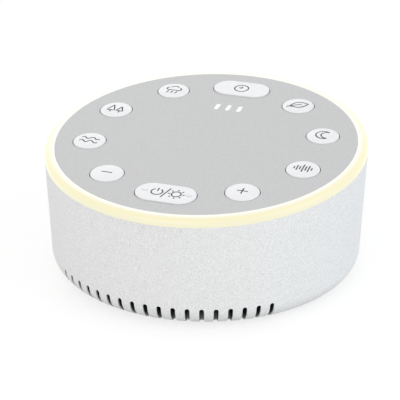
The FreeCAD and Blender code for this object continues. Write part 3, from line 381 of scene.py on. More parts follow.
@dataclass(frozen=True)
class Glowing(Finish):
    """Milky plastic lit from below: white at its inner edge and warm at its outer edge.

    Attributes:
        warm: Screen colour towards the outer edge.
        edge: Screen colour at the edge itself.
        inner: Radius of the ring's bore.
        outer: Radius of its outside.
        depth: How far its lit outside reaches below the plate's face.
        glow: Share of the colour that comes from the lamps under the ring.
        painted_glow: Share of the glow's colours, lamp ripple included, painted into the base colour
            as well.
        lamps: Number of lamps under the ring.
        ripple: How far each lamp draws the colours inwards.
        sink: Share of a depth below the plate's face that counts as width.
        stops: Shares of the ring's width at which its four colours lie.
        spill: How far the light reaches past the bore and past that depth.
    """

    warm: Colour = (255, 248, 208)
    edge: Colour = (253, 248, 216)
    inner: float = 65.6 * MM
    outer: float = 70.0 * MM
    depth: float = 3.5 * MM
    # Painted light: share of the glow that is put into the base colour.
    glow: float = 0.73
    painted_glow: float = 0.48
    lamps: int = 20
    ripple: float = 0.1 * MM
    sink: float = 0.35
    stops: tuple[float, ...] = (0.16, 0.7, 0.95, 1.0)
    spill: Point = (0.2 * MM, 0.1 * MM)

    def colour(self, sheet: Sheet) -> Output:
        """Blend from white to warm along the radius, on the sloping face's own axes."""
        turned = Slope().matrix().inverted()
        mapping = sheet.placed("ShaderNodeMapping", Location=turned.to_translation(),
                               Rotation=turned.to_euler())
        parts = sheet.after(mapping, "Vector", "ShaderNodeSeparateXYZ", "Vector")
        radius = sheet.math("SQRT", sheet.square(parts))
        angle = sheet.math("ARCTAN2", (parts, "Y"), (parts, "X"))
        nearness = sheet.math("COSINE", sheet.math("MULTIPLY", angle, float(self.lamps)))
        pulled = sheet.math("MULTIPLY_ADD", nearness, -self.ripple, radius)
        reach = sheet.math("ADD", pulled, sheet.math("MULTIPLY", (parts, "Z"), -self.sink))
        share = sheet.spread(*reach, 0.0, 1.0, self.inner, self.outer)
        stops = tuple(zip(self.stops, (self.shade, self.warm, self.warm, self.edge)))
        # Painted light: the glow's colours and lamp ripple, scaled down, also go into the base
        # colour.
        base = sheet.ramp(share, "Result", [(at, scaled(tone, self.painted_glow)) for at, tone in stops])
        light = sheet.ramp(share, "Result", stops)
        sheet.link(light, "Color", sheet.shader, "Emission Color")
        outside = sheet.math("GREATER_THAN", radius, self.inner - self.spill[0])
        upper = sheet.math("GREATER_THAN", (parts, "Z"), -self.depth - self.spill[1])
        lit = sheet.math("MULTIPLY", sheet.math("MULTIPLY", outside, upper), self.glow)
        sheet.link(*lit, sheet.shader, "Emission Strength")
        return base, "Color"


@dataclass(frozen=True)
class Turned(Finish):
    """Metal with the fine rings that a lathe or a press leaves.

    Attributes:
        ring: Distance between two rings.
        waver: How far the rings stray from a true circle.
    """

    metallic: float = 1.0
    ring: float = 0.25 * MM
    waver: float = 0.4

    def surface(self, sheet: Sheet) -> None:
        """Fine rings over the grain."""
        grain = sheet.bump(sheet.noise(self.grain), "Fac", self.relief)
        rings = sheet.placed("ShaderNodeTexWave", {"wave_type": "RINGS", "rings_direction": "Z"},
                             Scale=1 / self.ring, Distortion=self.waver)
        sheet.bump(rings, "Fac", self.relief, grain)


@dataclass(frozen=True)
class Laminate(Finish):
    """Circuit board: lacquer over glass weave and copper lines.

    Attributes:
        copper: Screen colour of the lacquer over copper.
        line: Distance between two copper lines.
        width: Width of a line as a share of that distance.
        run: Length of an unbroken line as a multiple of that distance.
        worn: Share of the lacquer's colour that its paler patches keep.
    """

    copper: Colour = (52, 120, 78)
    line: float = 2.6 * MM
    width: float = 0.12
    run: float = 4.0
    worn: float = 0.93

    def colour(self, sheet: Sheet) -> Output:
        """Broken lines of copper show paler through the lacquer."""
        return sheet.placed(
            "ShaderNodeTexBrick", {"squash": 1.4}, Scale=1.0, Mortar_Size=self.width * self.line,
            Mortar_Smooth=0.1, Brick_Width=self.run * self.line, Row_Height=self.line,
            Color1=linear(self.shade), Color2=linear(scaled(self.shade, self.worn)),
            Mortar=linear(self.copper)), "Color"

    def surface(self, sheet: Sheet) -> None:
        """The weave of the glass cloth."""
        weave = sheet.placed("ShaderNodeTexChecker", Scale=1 / self.grain)
        sheet.bump(weave, "Fac", self.relief)


@dataclass(frozen=True)
class Woven(Finish):
    """Cloth or paper whose threads or fibres run two ways.

    Attributes:
        slim: Width of a fibre as a share of its length.
    """

    slim: float = 0.2

    def surface(self, sheet: Sheet) -> None:
        """Two crossed sets of fibres."""
        first = sheet.noise(self.grain, stretch=(self.slim, 1.0, 1.0))
        second = sheet.noise(self.grain, stretch=(1.0, self.slim, 1.0))
        sheet.bump(second, "Fac", self.relief, sheet.bump(first, "Fac", self.relief))


@dataclass(frozen=True)
class Pored(Finish):
    """Foam with open pores."""

    def surface(self, sheet: Sheet) -> None:
        """Round pores of mixed sizes."""
        pores = sheet.placed("ShaderNodeTexVoronoi", Scale=1 / self.grain)
        sheet.bump(pores, "Distance", self.relief)


class Finishes(Enum):
    """Every finish of the machine."""

    # The housing's inside carries painted shade.
    HOUSING = Shell("speckled_housing", (236, 237, 238), roughness=0.62, grain=0.35 * MM,
                    relief=0.02 * MM, contrast=0.075)
    COVER = Speckled("cover_grey", (206, 207, 207), roughness=0.6, contrast=0.03,
                     grain=0.4 * MM, relief=0.03 * MM)
    PLATE = Speckled("plate_grey", (200, 200, 201), roughness=0.55, speck=0.5 * MM,
                     contrast=0.045, grain=0.25 * MM, relief=0.012 * MM)
    KEY = Finish("key_white", (238, 238, 241), roughness=0.38, variation=0.008, patch=3 * MM,
                 grain=0.2 * MM, relief=0.003 * MM)
    INK = Finish("key_ink", (52, 53, 57), roughness=0.6, variation=0.08, patch=1 * MM,
                 grain=0.1 * MM, relief=0.004 * MM)
    FAINT_INK = Finish("faint_ink", (205, 206, 212), roughness=0.6, variation=0.04, patch=1 * MM,
                       grain=0.1 * MM, relief=0.004 * MM)
    RING = Glowing("ring_diffuser", (255, 254, 247), roughness=0.35, grain=0.25 * MM,
                   relief=0.004 * MM)
    WINDOW = Finish("window_white", (250, 250, 250), roughness=0.25, variation=0.01,
                    grain=0.2 * MM, relief=0.003 * MM)
    RUBBER = Finish("rubber_grey", (88, 89, 91), roughness=0.85, variation=0.06, grain=0.25 * MM,
                    relief=0.04 * MM)
    STEEL = Turned("screw_steel", (178, 180, 184), roughness=0.34, grain=0.1 * MM,
                   relief=0.004 * MM)
    BOARD = Laminate("green_board", (24, 84, 52), roughness=0.38, grain=0.5 * MM,
                     relief=0.006 * MM)
    DARK_PLASTIC = Finish("black_moulding", (38, 38, 41), roughness=0.5, variation=0.1,
                          grain=0.2 * MM, relief=0.012 * MM)
    PALE_PLASTIC = Finish("ivory_moulding", (232, 226, 210), roughness=0.45, variation=0.03)
    EMITTER = Finish("lamp_resin", (246, 224, 140), roughness=0.3, variation=0.05, patch=1 * MM)
    CAN = Turned("can_aluminium", (192, 194, 198), roughness=0.3, grain=0.15 * MM, relief=0.004 * MM)
    BRASS = Turned("pin_brass", (206, 178, 108), roughness=0.28, grain=0.1 * MM, relief=0.003 * MM)
    COPPER = Turned("coil_copper", (198, 122, 84), roughness=0.32, ring=0.2 * MM,
                    grain=0.1 * MM, relief=0.01 * MM)
    LEAD = Finish("red_insulation", (150, 32, 34), roughness=0.45, variation=0.06)
    BLACK_METAL = Finish("black_enamel", (32, 33, 35), roughness=0.42, variation=0.1,
                         grain=0.25 * MM, relief=0.012 * MM, metallic=0.6)
    TERMINAL = Woven("terminal_card", (150, 104, 60), roughness=0.7, variation=0.08,
                     grain=0.3 * MM, relief=0.02 * MM)
    FOAM = Pored("black_foam", (54, 54, 56), roughness=0.95, variation=0.1, grain=0.5 * MM,
                 relief=0.12 * MM)
    ZINC = Turned("zinc_plating", (182, 184, 182), roughness=0.36, grain=0.2 * MM,
                  relief=0.006 * MM)
    FERRITE = Finish("magnet_grey", (58, 58, 60), roughness=0.72, variation=0.12, patch=1.5 * MM,
                     grain=0.3 * MM, relief=0.03 * MM)
    PAPER = Woven("cone_pulp", (46, 46, 48), roughness=0.9, variation=0.12, patch=1.2 * MM,
                  grain=0.5 * MM, relief=0.03 * MM)
    SPIDER = Woven("spider_cloth", (196, 158, 92), roughness=0.85, variation=0.08,
                   grain=0.4 * MM, relief=0.04 * MM)


@dataclass(frozen=True)
class Slope:
    """The sloping plane of the plate's upper face.

    Attributes:
        height: Middle of the plate above the table.
        key_circle: Radius to the keys' centres.
        key_step: Angle from one key to the next.
    """

    height: float = 57.4 * MM
    key_circle: float = 50.5 * MM
    key_step: float = math.radians(36)

    def matrix(self) -> Matrix:
        """Place of the plane in the frame; its normal is against a key's stroke."""
        stroke = next(joint for joint in frame["joints"] if joint["name"] == "timer_press")
        normal = -Vector(stroke["axis"])
        tilt = math.atan2(-normal.y, normal.z)
        return Matrix.Translation((0, 0, self.height)) @ Matrix.Rotation(tilt, 4, "X")

    def key(self, step: int) -> Matrix:
        """Place of the key that lies so many steps clockwise from the rear."""
        angle = step * self.key_step
        place = Vector((math.sin(angle), math.cos(angle), 0)) * self.key_circle
        return self.matrix() @ Matrix.Translation(place)


def dress(finish: Finishes, *nodes: str) -> None:
    """Give CAD nodes a finish.

    Args:
        finish: The finish.
        nodes: Names of the nodes.
    """
    made = finish.value.material()
    for name in nodes:
        node = frame["nodes"][name]
        if not node.material_slots:
            node.data.materials.append(made)
        for slot in node.material_slots:
            slot.material = made
    log.info("%s: %s", made.name, ", ".join(nodes))


def new_piece(name: str, mesh: Mesh) -> Object:
    """An object at the origin that holds a finished mesh."""
    piece = bpy.data.objects.new(name, mesh)
    bpy.context.scene.collection.objects.link(piece)
    return piece


class Grower(Tree):
    """A geometry tree that grows a mesh from a seed object."""

    def __init__(self, name: str, sockets: dict[str, str]) -> None:
        """Start the tree.

        Args:
            name: Name of the tree.
            sockets: Names of its inputs and the kinds of their sockets.
        """
        super().__init__(bpy.data.node_groups.new(name, "GeometryNodeTree"))
        face = self.tree.interface
        for title, kind in {"Geometry": "Geometry", **sockets}.items():
            face.new_socket(title, in_out="INPUT", socket_type="NodeSocket" + kind)
        face.new_socket("Geometry", in_out="OUTPUT", socket_type="NodeSocketGeometry")
        self.given = self.add("NodeGroupInput")
        self.result = self.add("NodeGroupOutput")

    def close(self, source: Node, out: str, material: str) -> None:
        """End the tree with real faces that have the material of one input."""
        real = self.after(source, out, "GeometryNodeRealizeInstances", "Geometry")
        dressed = self.after(real, "Geometry", "GeometryNodeSetMaterial", "Geometry")
        self.link(self.given, material, dressed, "Material")
        self.link(dressed, "Geometry", self.result, "Geometry")

    def grow(self, name: str, seed: Object, inputs: dict[str, object]) -> Mesh:
        """Run the tree on a seed object and keep the result as a plain mesh.

        Args:
            name: Name of the mesh.
            seed: Object that the tree starts from. It is removed.
            inputs: Values by the names of the tree's inputs.

        Returns:
            The finished mesh.
        """
        modifier = seed.modifiers.new(self.tree.name, "NODES")
        modifier.node_group = self.tree
        for item in self.tree.interface.items_tree:
            if getattr(item, "in_out", "") == "INPUT" and item.name in inputs:
                modifier[item.identifier] = inputs[item.name]
        seed.update_tag()
        evaluated = seed.evaluated_get(bpy.context.evaluated_depsgraph_get())
        mesh = bpy.data.meshes.new_from_object(evaluated)
        mesh.name = name
        bpy.data.objects.remove(seed)
        return mesh


class Pen:
    """Collects the thin lines of one sign, in millimetres on a key's flat face."""

    def __init__(self) -> None:
        """Start with a clean face."""
        self.lines: list[tuple[list[Point], bool]] = []

    def line(self, *points: Point) -> None:
        """Draw one open line through points."""
        self.lines.append((list(points), False))

    def arc(self, centre: Point, radius: float, start: float, end: float, flat: float = 1.0,
            count: int = 18) -> None:
        """Draw part of a circle or a flattened one.

        Args:
            centre: Middle of the circle.
            radius: Its radius along X.
            start: First angle in degrees, counterclockwise from +X.
            end: Last angle.
            flat: Height over width.
            count: Number of steps.
        """
        whole = abs(end - start) >= 360
        steps = count if whole else count + 1
        turns = [math.radians(start + (end - start) * step / count) for step in range(steps)]
        points = [(centre[0] + radius * math.cos(turn), centre[1] + radius * flat * math.sin(turn))
                  for turn in turns]
        self.lines.append((points, whole))

    def rays(self, centre: Point, inner: float, outer: float, count: int) -> None:
        """Draw short lines outwards round a point."""
        for number in range(count):
            turn = math.radians(360 * number / count)
            across, up = math.cos(turn), math.sin(turn)
            self.line((centre[0] + inner * across, centre[1] + inner * up),
                      (centre[0] + outer * across, centre[1] + outer * up))

    def wave(self, middle: float, half: float, height: float, crests: int) -> None:
        """Draw a row of crests along X."""
        count = 10 * crests
        points = []
        for step in range(count + 1):
            share = step / count
            points.append((half * (2 * share - 1),
                           middle + height * math.sin(2 * math.pi * crests * share)))
        self.line(*points)

    def mesh(self, name: str) -> Mesh:
        """The lines as a mesh of edges."""
        vertices: list[tuple[float, float, float]] = []
        edges: list[tuple[int, int]] = []
        for points, whole in self.lines:
            first = len(vertices)
            vertices += [(across * MM, up * MM, 0.0) for across, up in points]
            edges += [(first + step, first + step + 1) for step in range(len(points) - 1)]
            if whole:
                edges.append((len(vertices) - 1, first))
        mesh = bpy.data.meshes.new(name)
        mesh.from_pydata(vertices, edges, [])
        return mesh


def draw_clock(pen: Pen) -> None:
    """A clock face with two short hands."""
    pen.arc((0, 0), 3.2, 0, 360, count=36)
    pen.line((0, -0.1), (0, 1.9))
    pen.line((0.1, 0), (-1.3, 0.6))


def draw_leaf(pen: Pen) -> None:
    """A pointed leaf with its midrib and stalk."""
    sides: list[Point] = []
    for side, steps in ((1.0, range(13)), (-1.0, range(11, 0, -1))):
        for step in steps:
            along = step / 12
            out = 2.2 * side * math.sin(math.pi * along)
            sides.append((-3.4 + 7.6 * along - out * 0.5, -1.9 + 3.8 * along + out))
    pen.line(*sides, sides[0])
    pen.line((-4.8, -2.6), (1.6, 0.6))


def draw_moon(pen: Pen) -> None:
    """A crescent moon."""
    pen.arc((0.3, 0), 3.3, 52, 308, count=30)
    pen.arc((1.9, 0), 2.63, 80, 280, count=24)


def draw_bars(pen: Pen) -> None:
    """Sound bars of uneven height."""
    for number, half in enumerate((0.9, 2.1, 1.4, 3.1, 1.8, 2.5, 1.0)):
        across = (number - 3) * 1.25
        pen.line((across, -half), (across, half))


def draw_plus(pen: Pen) -> None:
    """A plus sign."""
    pen.line((-2.3, 0), (2.3, 0))
    pen.line((0, -2.3), (0, 2.3))


def draw_minus(pen: Pen) -> None:
    """A minus sign."""
    pen.line((-2.3, 0), (2.3, 0))


def draw_waves(pen: Pen) -> None:
    """Two rows of sea waves."""
    for middle in (-1.5, 1.5):
        pen.wave(middle, 4.2, 0.8, 2)


def draw_trees(pen: Pen) -> None:
    """Two pointed trees."""
    for across, wide, high in ((-1.9, 1.8, 3.4), (2.2, 1.5, 2.2)):
        pen.line((across, high), (across - wide, -1.7), (across + wide, -1.7), (across, high))
        pen.line((across, -1.7), (across, -3.2))


def draw_rain(pen: Pen) -> None:
    """A cloud with three slanting drops."""
    pen.arc((-2.0, 0.9), 1.4, 110, 270)
    pen.arc((0.1, 1.7), 1.9, 25, 165)
    pen.arc((2.2, 0.8), 1.3, -90, 75)
    pen.line((-2.0, -0.5), (2.2, -0.5))
    for across in (-1.7, 0.3, 2.3):
        pen.line((across, -1.5), (across - 0.7, -3.3))


def draw_power(pen: Pen) -> None:
    """A power sign, a stroke and a lamp with rays."""
    pen.arc((-3.8, 0), 2.4, 122, 418, count=30)
    pen.line((-3.8, 0.6), (-3.8, 3.0))
    pen.line((-1.0, -3.9), (1.0, 3.9))
    pen.arc((4.6, -0.1), 2.0, 0, 360, count=30)
    pen.rays((4.6, -0.1), 2.7, 3.6, 8)


def draw_side_marks(pen: Pen) -> None:
    """A faint curved mark near each end of the lower pill key."""
    for across in (-9.1, 10.0):
        pen.arc((across, 0.6), 1.2, 190, 350, flat=0.8)


# What is printed on each key, clockwise from the rear.
KEY_SIGNS: dict[str, Callable[[Pen], None]] = {
    "timer": draw_clock,
    "relax": draw_leaf,
    "calm": draw_moon,
    "noise": draw_bars,
    "plus": draw_plus,
    "power": draw_power,
    "minus": draw_minus,
    "ocean": draw_waves,
    "forest": draw_trees,
    "rain": draw_rain,
}
PILL_KEYS = ("timer", "power")


@dataclass
class Keys:
    """The ten keys with their printed signs.

    Attributes:
        slope: Plane that the keys stand in.
        line: Width of a printed line.
        ink: Thickness of the ink.
        sunk: How far the ink reaches into the face, so that no gap shows.
        face_edge: Radius of a round key's face inside its rounded edge.
        proud: Edge of a key's face above the plate.
        crown: Rise of a round key's face from its edge to its middle.
        pill_crown: Rise of a pill key's flat face above that edge.
    """

    slope: Slope = field(default_factory=Slope)
    line: float = 0.55 * MM
    ink: float = 0.05 * MM
    sunk: float = 0.02 * MM
    face_edge: float = 6.7 * MM
    proud: float = 0.35 * MM
    crown: float = 0.45 * MM
    pill_crown: float = 0.225 * MM

    def build(self) -> None:
        """Dress the keys and print every sign."""
        dress(Finishes.KEY, *[f"key_{name}" for name in KEY_SIGNS])
        tree = self.printing_tree()
        for name, draw in KEY_SIGNS.items():
            self.print_sign(tree, f"sign_{name}", name, draw, Finishes.INK)
        self.print_sign(tree, "side_marks", "power", draw_side_marks, Finishes.FAINT_INK)

    def printing_tree(self) -> Grower:
        """The tree that turns edges into flat lines of ink that follow a face."""
        tree = Grower("printed_lines", {
            "Line Width": "Float", "Ink Height": "Float", "Face Height": "Float",
            "Face Bend": "Float", "Ink": "Material",
        })
        given = tree.given
        curve = tree.after(given, "Geometry", "GeometryNodeMeshToCurve", "Mesh")
        finer = tree.after(curve, "Curve", "GeometryNodeSubdivideCurve", "Curve", Cuts=3)
        upright = tree.after(finer, "Curve", "GeometryNodeSetCurveNormal", "Curve",
                             {"mode": "Z_UP"})
        section = tree.after(given, "Line Width", "GeometryNodeCurvePrimitiveQuadrilateral",
                             "Width")
        tree.link(given, "Ink Height", section, "Height")
        ribbon = tree.after(upright, "Curve", "GeometryNodeCurveToMesh", "Curve", Fill_Caps=True)
        tree.link(section, "Curve", ribbon, "Profile Curve")
        here = tree.add("GeometryNodeInputPosition")
        parts = tree.after(here, "Position", "ShaderNodeSeparateXYZ", "Vector")
        fall = tree.math("MULTIPLY", tree.square(parts), (given, "Face Bend"))
        rise = tree.math("SUBTRACT", (given, "Face Height"), fall)
        offset = tree.after(*rise, "ShaderNodeCombineXYZ", "Z")
        moved = tree.after(offset, "Vector", "GeometryNodeSetPosition", "Offset")
        tree.link(ribbon, "Mesh", moved, "Geometry")
        tree.close(moved, "Geometry", "Ink")
        return tree

    def print_sign(self, tree: Grower, title: str, key: str, draw: Callable[[Pen], None],
                   ink: Finishes) -> None:
        """Print one sign on its key.

        Args:
            tree: The printing tree.
            title: Name of the printed piece.
            key: Name of the key, without its prefix.
            draw: Function that draws the sign.
            ink: Finish of the ink.
        """
        domed = key not in PILL_KEYS
        pen = Pen()
        draw(pen)
        seed = new_piece(title + "_lines", pen.mesh(title + "_lines"))
        rise = self.proud + (self.crown if domed else self.pill_crown)
        bend = self.crown / self.face_edge ** 2 if domed else 0.0
        mesh = tree.grow(title, seed, {
            "Line Width": self.line, "Ink Height": self.ink,
            "Face Height": rise + self.ink / 2 - self.sunk, "Face Bend": bend,
            "Ink": ink.value.material(),
        })
        mesh.transform(self.slope.key(list(KEY_SIGNS).index(key)))
        piece = new_piece(title, mesh)
        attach(piece, f"{key}_key")
        log.info("%s rides on %s_key", title, key)


@dataclass(frozen=True)
class ScrewSize:
    """Sizes of one kind of screw.

    Attributes:
        head: Radius of the head.
        head_height: Height of the head.
        shank: Radius over the thread.
        length: Length of the shank.
        pitch: Rise of the thread in one turn.
    """

    head: float
    head_height: float
    shank: float
    length: float
    pitch: float = 0.8 * MM


@dataclass
class Screws:
    """All the screws, each with a cross recess in its head and a thread on its shank.

    Attributes:
        around: Corners round a head or a thread.
        seed: Seed of the heads' random turns.
    """

    around: int = 24
    seed: int = 4

    def __post_init__(self) -> None:
        """Make the tree that all the groups share."""
        self.tree = self.setting_tree()

    def place(self, node: str, size: ScrewSize, places: list[Matrix]) -> None:
        """Set one group of screws in place.

        Args:
            node: The CAD node that they stand for.
            size: Their sizes.
            places: Where the undersides of their heads lie.
        """
        model = new_piece(node + "_model", self.screw_mesh(size))
        points = bpy.data.meshes.new(node + "_places")
        first = places[0].to_3x3().to_4x4()
        points.from_pydata([first.inverted() @ place.to_translation() for place in places], [], [])
        mesh = self.tree.grow(node + "_threaded", new_piece(node + "_seed", points), {
            "Screw": model, "Seed": self.seed, "Metal": Finishes.STEEL.value.material(),
        })
        bpy.data.objects.remove(model)
        mesh.transform(first)
        piece = new_piece(node + "_threaded", mesh)
        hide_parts(node)
        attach(piece, ROOT_BODY)
        log.info("%s: %d screws", node, len(places))

    def setting_tree(self) -> Grower:
        """The tree that sets one screw on every point, each turned at random."""
        tree = Grower("set_screws", {"Screw": "Object", "Seed": "Int", "Metal": "Material"})
        model = tree.after(tree.given, "Screw", "GeometryNodeObjectInfo", "Object")
        turn = tree.after(tree.given, "Seed", "FunctionNodeRandomValue", "Seed",
                          {"data_type": "FLOAT"})
        turn.inputs[3].default_value = math.tau
        axis = tree.after(turn, 1, "ShaderNodeCombineXYZ", "Z")
        points = tree.after(tree.given, "Geometry", "GeometryNodeMeshToPoints", "Mesh")
        copies = tree.after(points, "Points", "GeometryNodeInstanceOnPoints", "Points")
        tree.link(model, "Geometry", copies, "Instance")
        tree.link(axis, "Vector", copies, "Rotation")
        tree.close(copies, "Instances", "Metal")
        return tree

    def screw_mesh(self, size: ScrewSize) -> Mesh:
        """One screw with its head above z = 0 and its shank below."""
        shape = bmesh.new()
        rings = self.head_rings(size) + self.thread_rings(size)
        rows = [[shape.verts.new(point) for point in ring] for ring in rings]
        for upper, lower in zip(rows, rows[1:]):
            for corner in range(self.around):
                after = (corner + 1) % self.around
                shape.faces.new((upper[corner], lower[corner], lower[after], upper[after]))
        tip = shape.verts.new((0, 0, -size.length))
        for corner in range(self.around):
            shape.faces.new((rows[-1][corner], tip, rows[-1][(corner + 1) % self.around]))
        self.close_recess(shape, rows[0], size)
        bmesh.ops.recalc_face_normals(shape, faces=shape.faces)
        mesh = bpy.data.meshes.new("screw")
        shape.to_mesh(mesh)
        shape.free()
        return mesh

    def ring(self, radius: Callable[[float], float], height: float) -> list[Vector]:
        """One ring of corners whose radius may change round it."""
        turns = [math.tau * corner / self.around for corner in range(self.around)]
        return [Vector((radius(turn) * math.cos(turn), radius(turn) * math.sin(turn), height))
                for turn in turns]

    def cross(self, size: ScrewSize) -> Callable[[float], float]:
        """Outline of the cross recess as a radius for each angle."""
        arm = size.head * 0.62
        waist = size.head * 0.2
        sharp = 6

        def radius(turn: float) -> float:
            return waist + (arm - waist) * abs(math.cos(2 * turn)) ** sharp

        return radius

    def head_rings(self, size: ScrewSize) -> list[list[Vector]]:
        """Rings of the pan head, from the recess's rim to the seat."""
        rim = 0.25 * size.head_height
        top = size.head_height
        rings = [self.ring(self.cross(size), top)]
        for share, drop in ((0.72, 0.0), (0.88, 0.1), (0.97, 0.45), (1.0, 1.0)):
            rings.append(self.ring(lambda turn, part=share: size.head * part, top - rim * drop))
        rings.append(self.ring(lambda turn: size.head, 0.0))
        return rings

    def thread_rings(self, size: ScrewSize) -> list[list[Vector]]:
        """Rings of the shank, with a thread that climbs round it."""
        steps, neck, core, taper, point = 6, 0.8, 0.78, 2.5, 0.15
        count = round(size.length / size.pitch * steps)
        rings = [self.ring(lambda turn: size.shank * neck, 0.0)]
        for number in range(1, count):
            height = -size.length * number / count
            ease = min(1.0, taper * (1 - number / count) + point)

            def radius(turn: float, height: float = height, ease: float = ease) -> float:
                phase = (height / size.pitch - turn / math.tau) % 1.0
                ridge = max(0.0, 1 - abs(phase - 0.5) * 4)
                return size.shank * ease * (core + (1 - core) * ridge)

            rings.append(self.ring(radius, height))
        return rings

    def close_recess(self, shape: bmesh.types.BMesh, rim: list[bmesh.types.BMVert],
                     size: ScrewSize) -> None:
        """Close the cross recess with sloping walls and a floor."""
        depth, narrowing, pit = size.head_height * 0.6, 0.7, 1.15
        floor = [shape.verts.new((corner.co.x * narrowing, corner.co.y * narrowing,
                                  corner.co.z - depth)) for corner in rim]
        middle = shape.verts.new((0, 0, size.head_height - depth * pit))
        for corner in range(self.around):
            after = (corner + 1) % self.around
            shape.faces.new((rim[corner], rim[after], floor[after], floor[corner]))
            shape.faces.new((floor[corner], floor[after], middle))


BASE_SCREW = ScrewSize(head=2.5 * MM, head_height=1.1 * MM, shank=1.3 * MM, length=7.7 * MM,
                       pitch=1.0 * MM)
BOARD_SCREW = ScrewSize(head=1.9 * MM, head_height=1.2 * MM, shank=0.9 * MM, length=4.6 * MM,
                        pitch=0.6 * MM)
SPEAKER_SCREW = ScrewSize(head=1.85 * MM, head_height=1.3 * MM, shank=1.1 * MM, length=8.0 * MM)
HEAD_DOWN = Matrix.Rotation(math.pi, 4, "X")


def on_circle(radius: float, turns: Iterable[float], height: float) -> list[Matrix]:
    """Places on a level circle, each at an angle clockwise from the rear."""
    return [Matrix.Translation((radius * math.sin(turn), radius * math.cos(turn), height))
            for turn in turns]


@dataclass
class Fasteners:
    """Where the machine's screws sit.

    Attributes:
        slope: Plane of the top.
        base_circle: Radius to the base screws.
        base_angle: Base screws from the fore and aft line.
        base_seat: Seats of the base screws above the table.
        post_circle: Radius to the key board's screws.
        board_under: Key board's underside below the plate's face.
        main_side: Main board's screws to either side.
        main_places: Main board's screws behind the axis.
        main_top: Main board's upper face above the table.
        speaker_circle: Radius to the speaker's screws.
        speaker_seat: Seats of the speaker's screws above the table.
    """

    slope: Slope = field(default_factory=Slope)
    base_circle: float = 53.5 * MM
    base_angle: float = math.radians(55)
    base_seat: float = 2.6 * MM
    post_circle: float = 58.0 * MM
    board_under: float = 9.6 * MM
    main_side: float = 20.0 * MM
    main_places: tuple[float, float] = (39.0 * MM, 55.0 * MM)
    main_top: float = 10.5 * MM
    speaker_circle: float = 28.2 * MM
    speaker_seat: float = 15.2 * MM

    def build(self) -> None:
        """Set all four groups of screws."""
        screws = Screws()
        screws.place("base_screws", BASE_SCREW, self.base_places())
        screws.place("key_board_screws", BOARD_SCREW, self.key_board_places())
        screws.place("main_board_screws", BOARD_SCREW, self.main_board_places())
        screws.place("speaker_screws", SPEAKER_SCREW, self.speaker_places())

    def base_places(self) -> list[Matrix]:
        """Four screws under the base, heads down."""
        turns = (self.base_angle, math.pi - self.base_angle, math.pi + self.base_angle,
                 -self.base_angle)
        return [place @ HEAD_DOWN for place in on_circle(self.base_circle, turns, self.base_seat)]

    def key_board_places(self) -> list[Matrix]:
        """Five screws under the key board, heads down, along the slope."""
        turns = [self.slope.key_step * (0.5 + 2 * number) for number in range(5)]
        return [self.slope.matrix() @ place @ HEAD_DOWN
                for place in on_circle(self.post_circle, turns, -self.board_under)]

    def main_board_places(self) -> list[Matrix]:
        """Four screws on the main board, heads up."""
        return [Matrix.Translation((side * self.main_side, place, self.main_top))
                for side in (-1, 1) for place in self.main_places]

    def speaker_places(self) -> list[Matrix]:
        """Four screws through the speaker's flange, heads up."""
        turns = [math.pi / 4 + number * math.pi / 2 for number in range(4)]
        return on_circle(self.speaker_circle, turns, self.speaker_seat)


# The CAD nodes of each sub-assembly, by finish. The keys and the screws have classes of their own.
SUB_ASSEMBLIES: dict[str, dict[Finishes, list[str]]] = {
    "casing": {
        Finishes.HOUSING: ["housing"],
        Finishes.COVER: ["base_cover"],
        Finishes.RUBBER: ["rubber_feet"],
        Finishes.RING: ["light_ring"],
        Finishes.PLATE: ["top_plate"],
        Finishes.WINDOW: ["indicator_windows"],
    },
    "electronics": {
        Finishes.BOARD: ["key_board", "main_board"],
        Finishes.DARK_PLASTIC: ["tact_switches", "sound_chip", "dc_jack", "key_board_socket",
                                "main_board_socket"],
        Finishes.PALE_PLASTIC: ["lead_socket", "ribbon_cable",
                                *[f"plunger_{name}" for name in KEY_SIGNS]],
        Finishes.EMITTER: ["ring_leds", "indicator_leds"],
        Finishes.CAN: ["capacitors"],
        Finishes.BRASS: ["jack_pin"],
        Finishes.LEAD: ["speaker_leads"],
    },
    "speaker": {
        Finishes.BLACK_METAL: ["speaker_frame"],
        Finishes.TERMINAL: ["speaker_terminal"],
        Finishes.FOAM: ["speaker_gasket", "speaker_surround"],
        Finishes.ZINC: ["speaker_washer", "speaker_yoke"],
        Finishes.FERRITE: ["speaker_magnet"],
        Finishes.PAPER: ["speaker_cone", "dust_cap"],
        Finishes.SPIDER: ["speaker_spider"],
        Finishes.COPPER: ["voice_coil"],
    },
}


@dataclass(frozen=True)
class Stand:
    """Where a lamp or the camera stands round the point that it faces.

    Attributes:
        azimuth: From the front towards the right, in degrees.
        elevation: Above the horizon, in degrees.
        distance: From that point.
    """

    azimuth: float
    elevation: float
    distance: float

    def hold(self, name: str, data: bpy.types.ID, aim: Vector) -> Object:
        """Put a new object with a lamp's or camera's data there and turn it to the aim."""
        turn, rise = math.radians(self.azimuth), math.radians(self.elevation)
        away = Vector((math.sin(turn) * math.cos(rise), -math.cos(turn) * math.cos(rise),
                       math.sin(rise)))
        held = bpy.data.objects.new(name, data)
        held.location = aim + away * self.distance
        held.rotation_euler = (-away).to_track_quat("-Z", "Y").to_euler()
        bpy.context.scene.collection.objects.link(held)
        return held


@dataclass(frozen=True)
class Lamp:
    """One soft lamp.

    Attributes:
        name: Name of the lamp.
        stand: Where it stands.
        side: Width and height of the lamp.
        level: What it adds to a surface that faces it, where 1 is white.
        tint: Its colour.
    """

    name: str
    stand: Stand
    side: float
    level: float
    tint: Colour = (1.0, 1.0, 1.0)

    def build(self, aim: Vector) -> None:
        """Hang the lamp and turn it to the aim."""
        data = bpy.data.lights.new(self.name, "AREA")
        data.shape = "DISK"
        data.size = self.side
        data.energy = self.level * math.pi ** 2 * self.stand.distance ** 2
        data.color = self.tint
        self.stand.hold(self.name, data, aim)


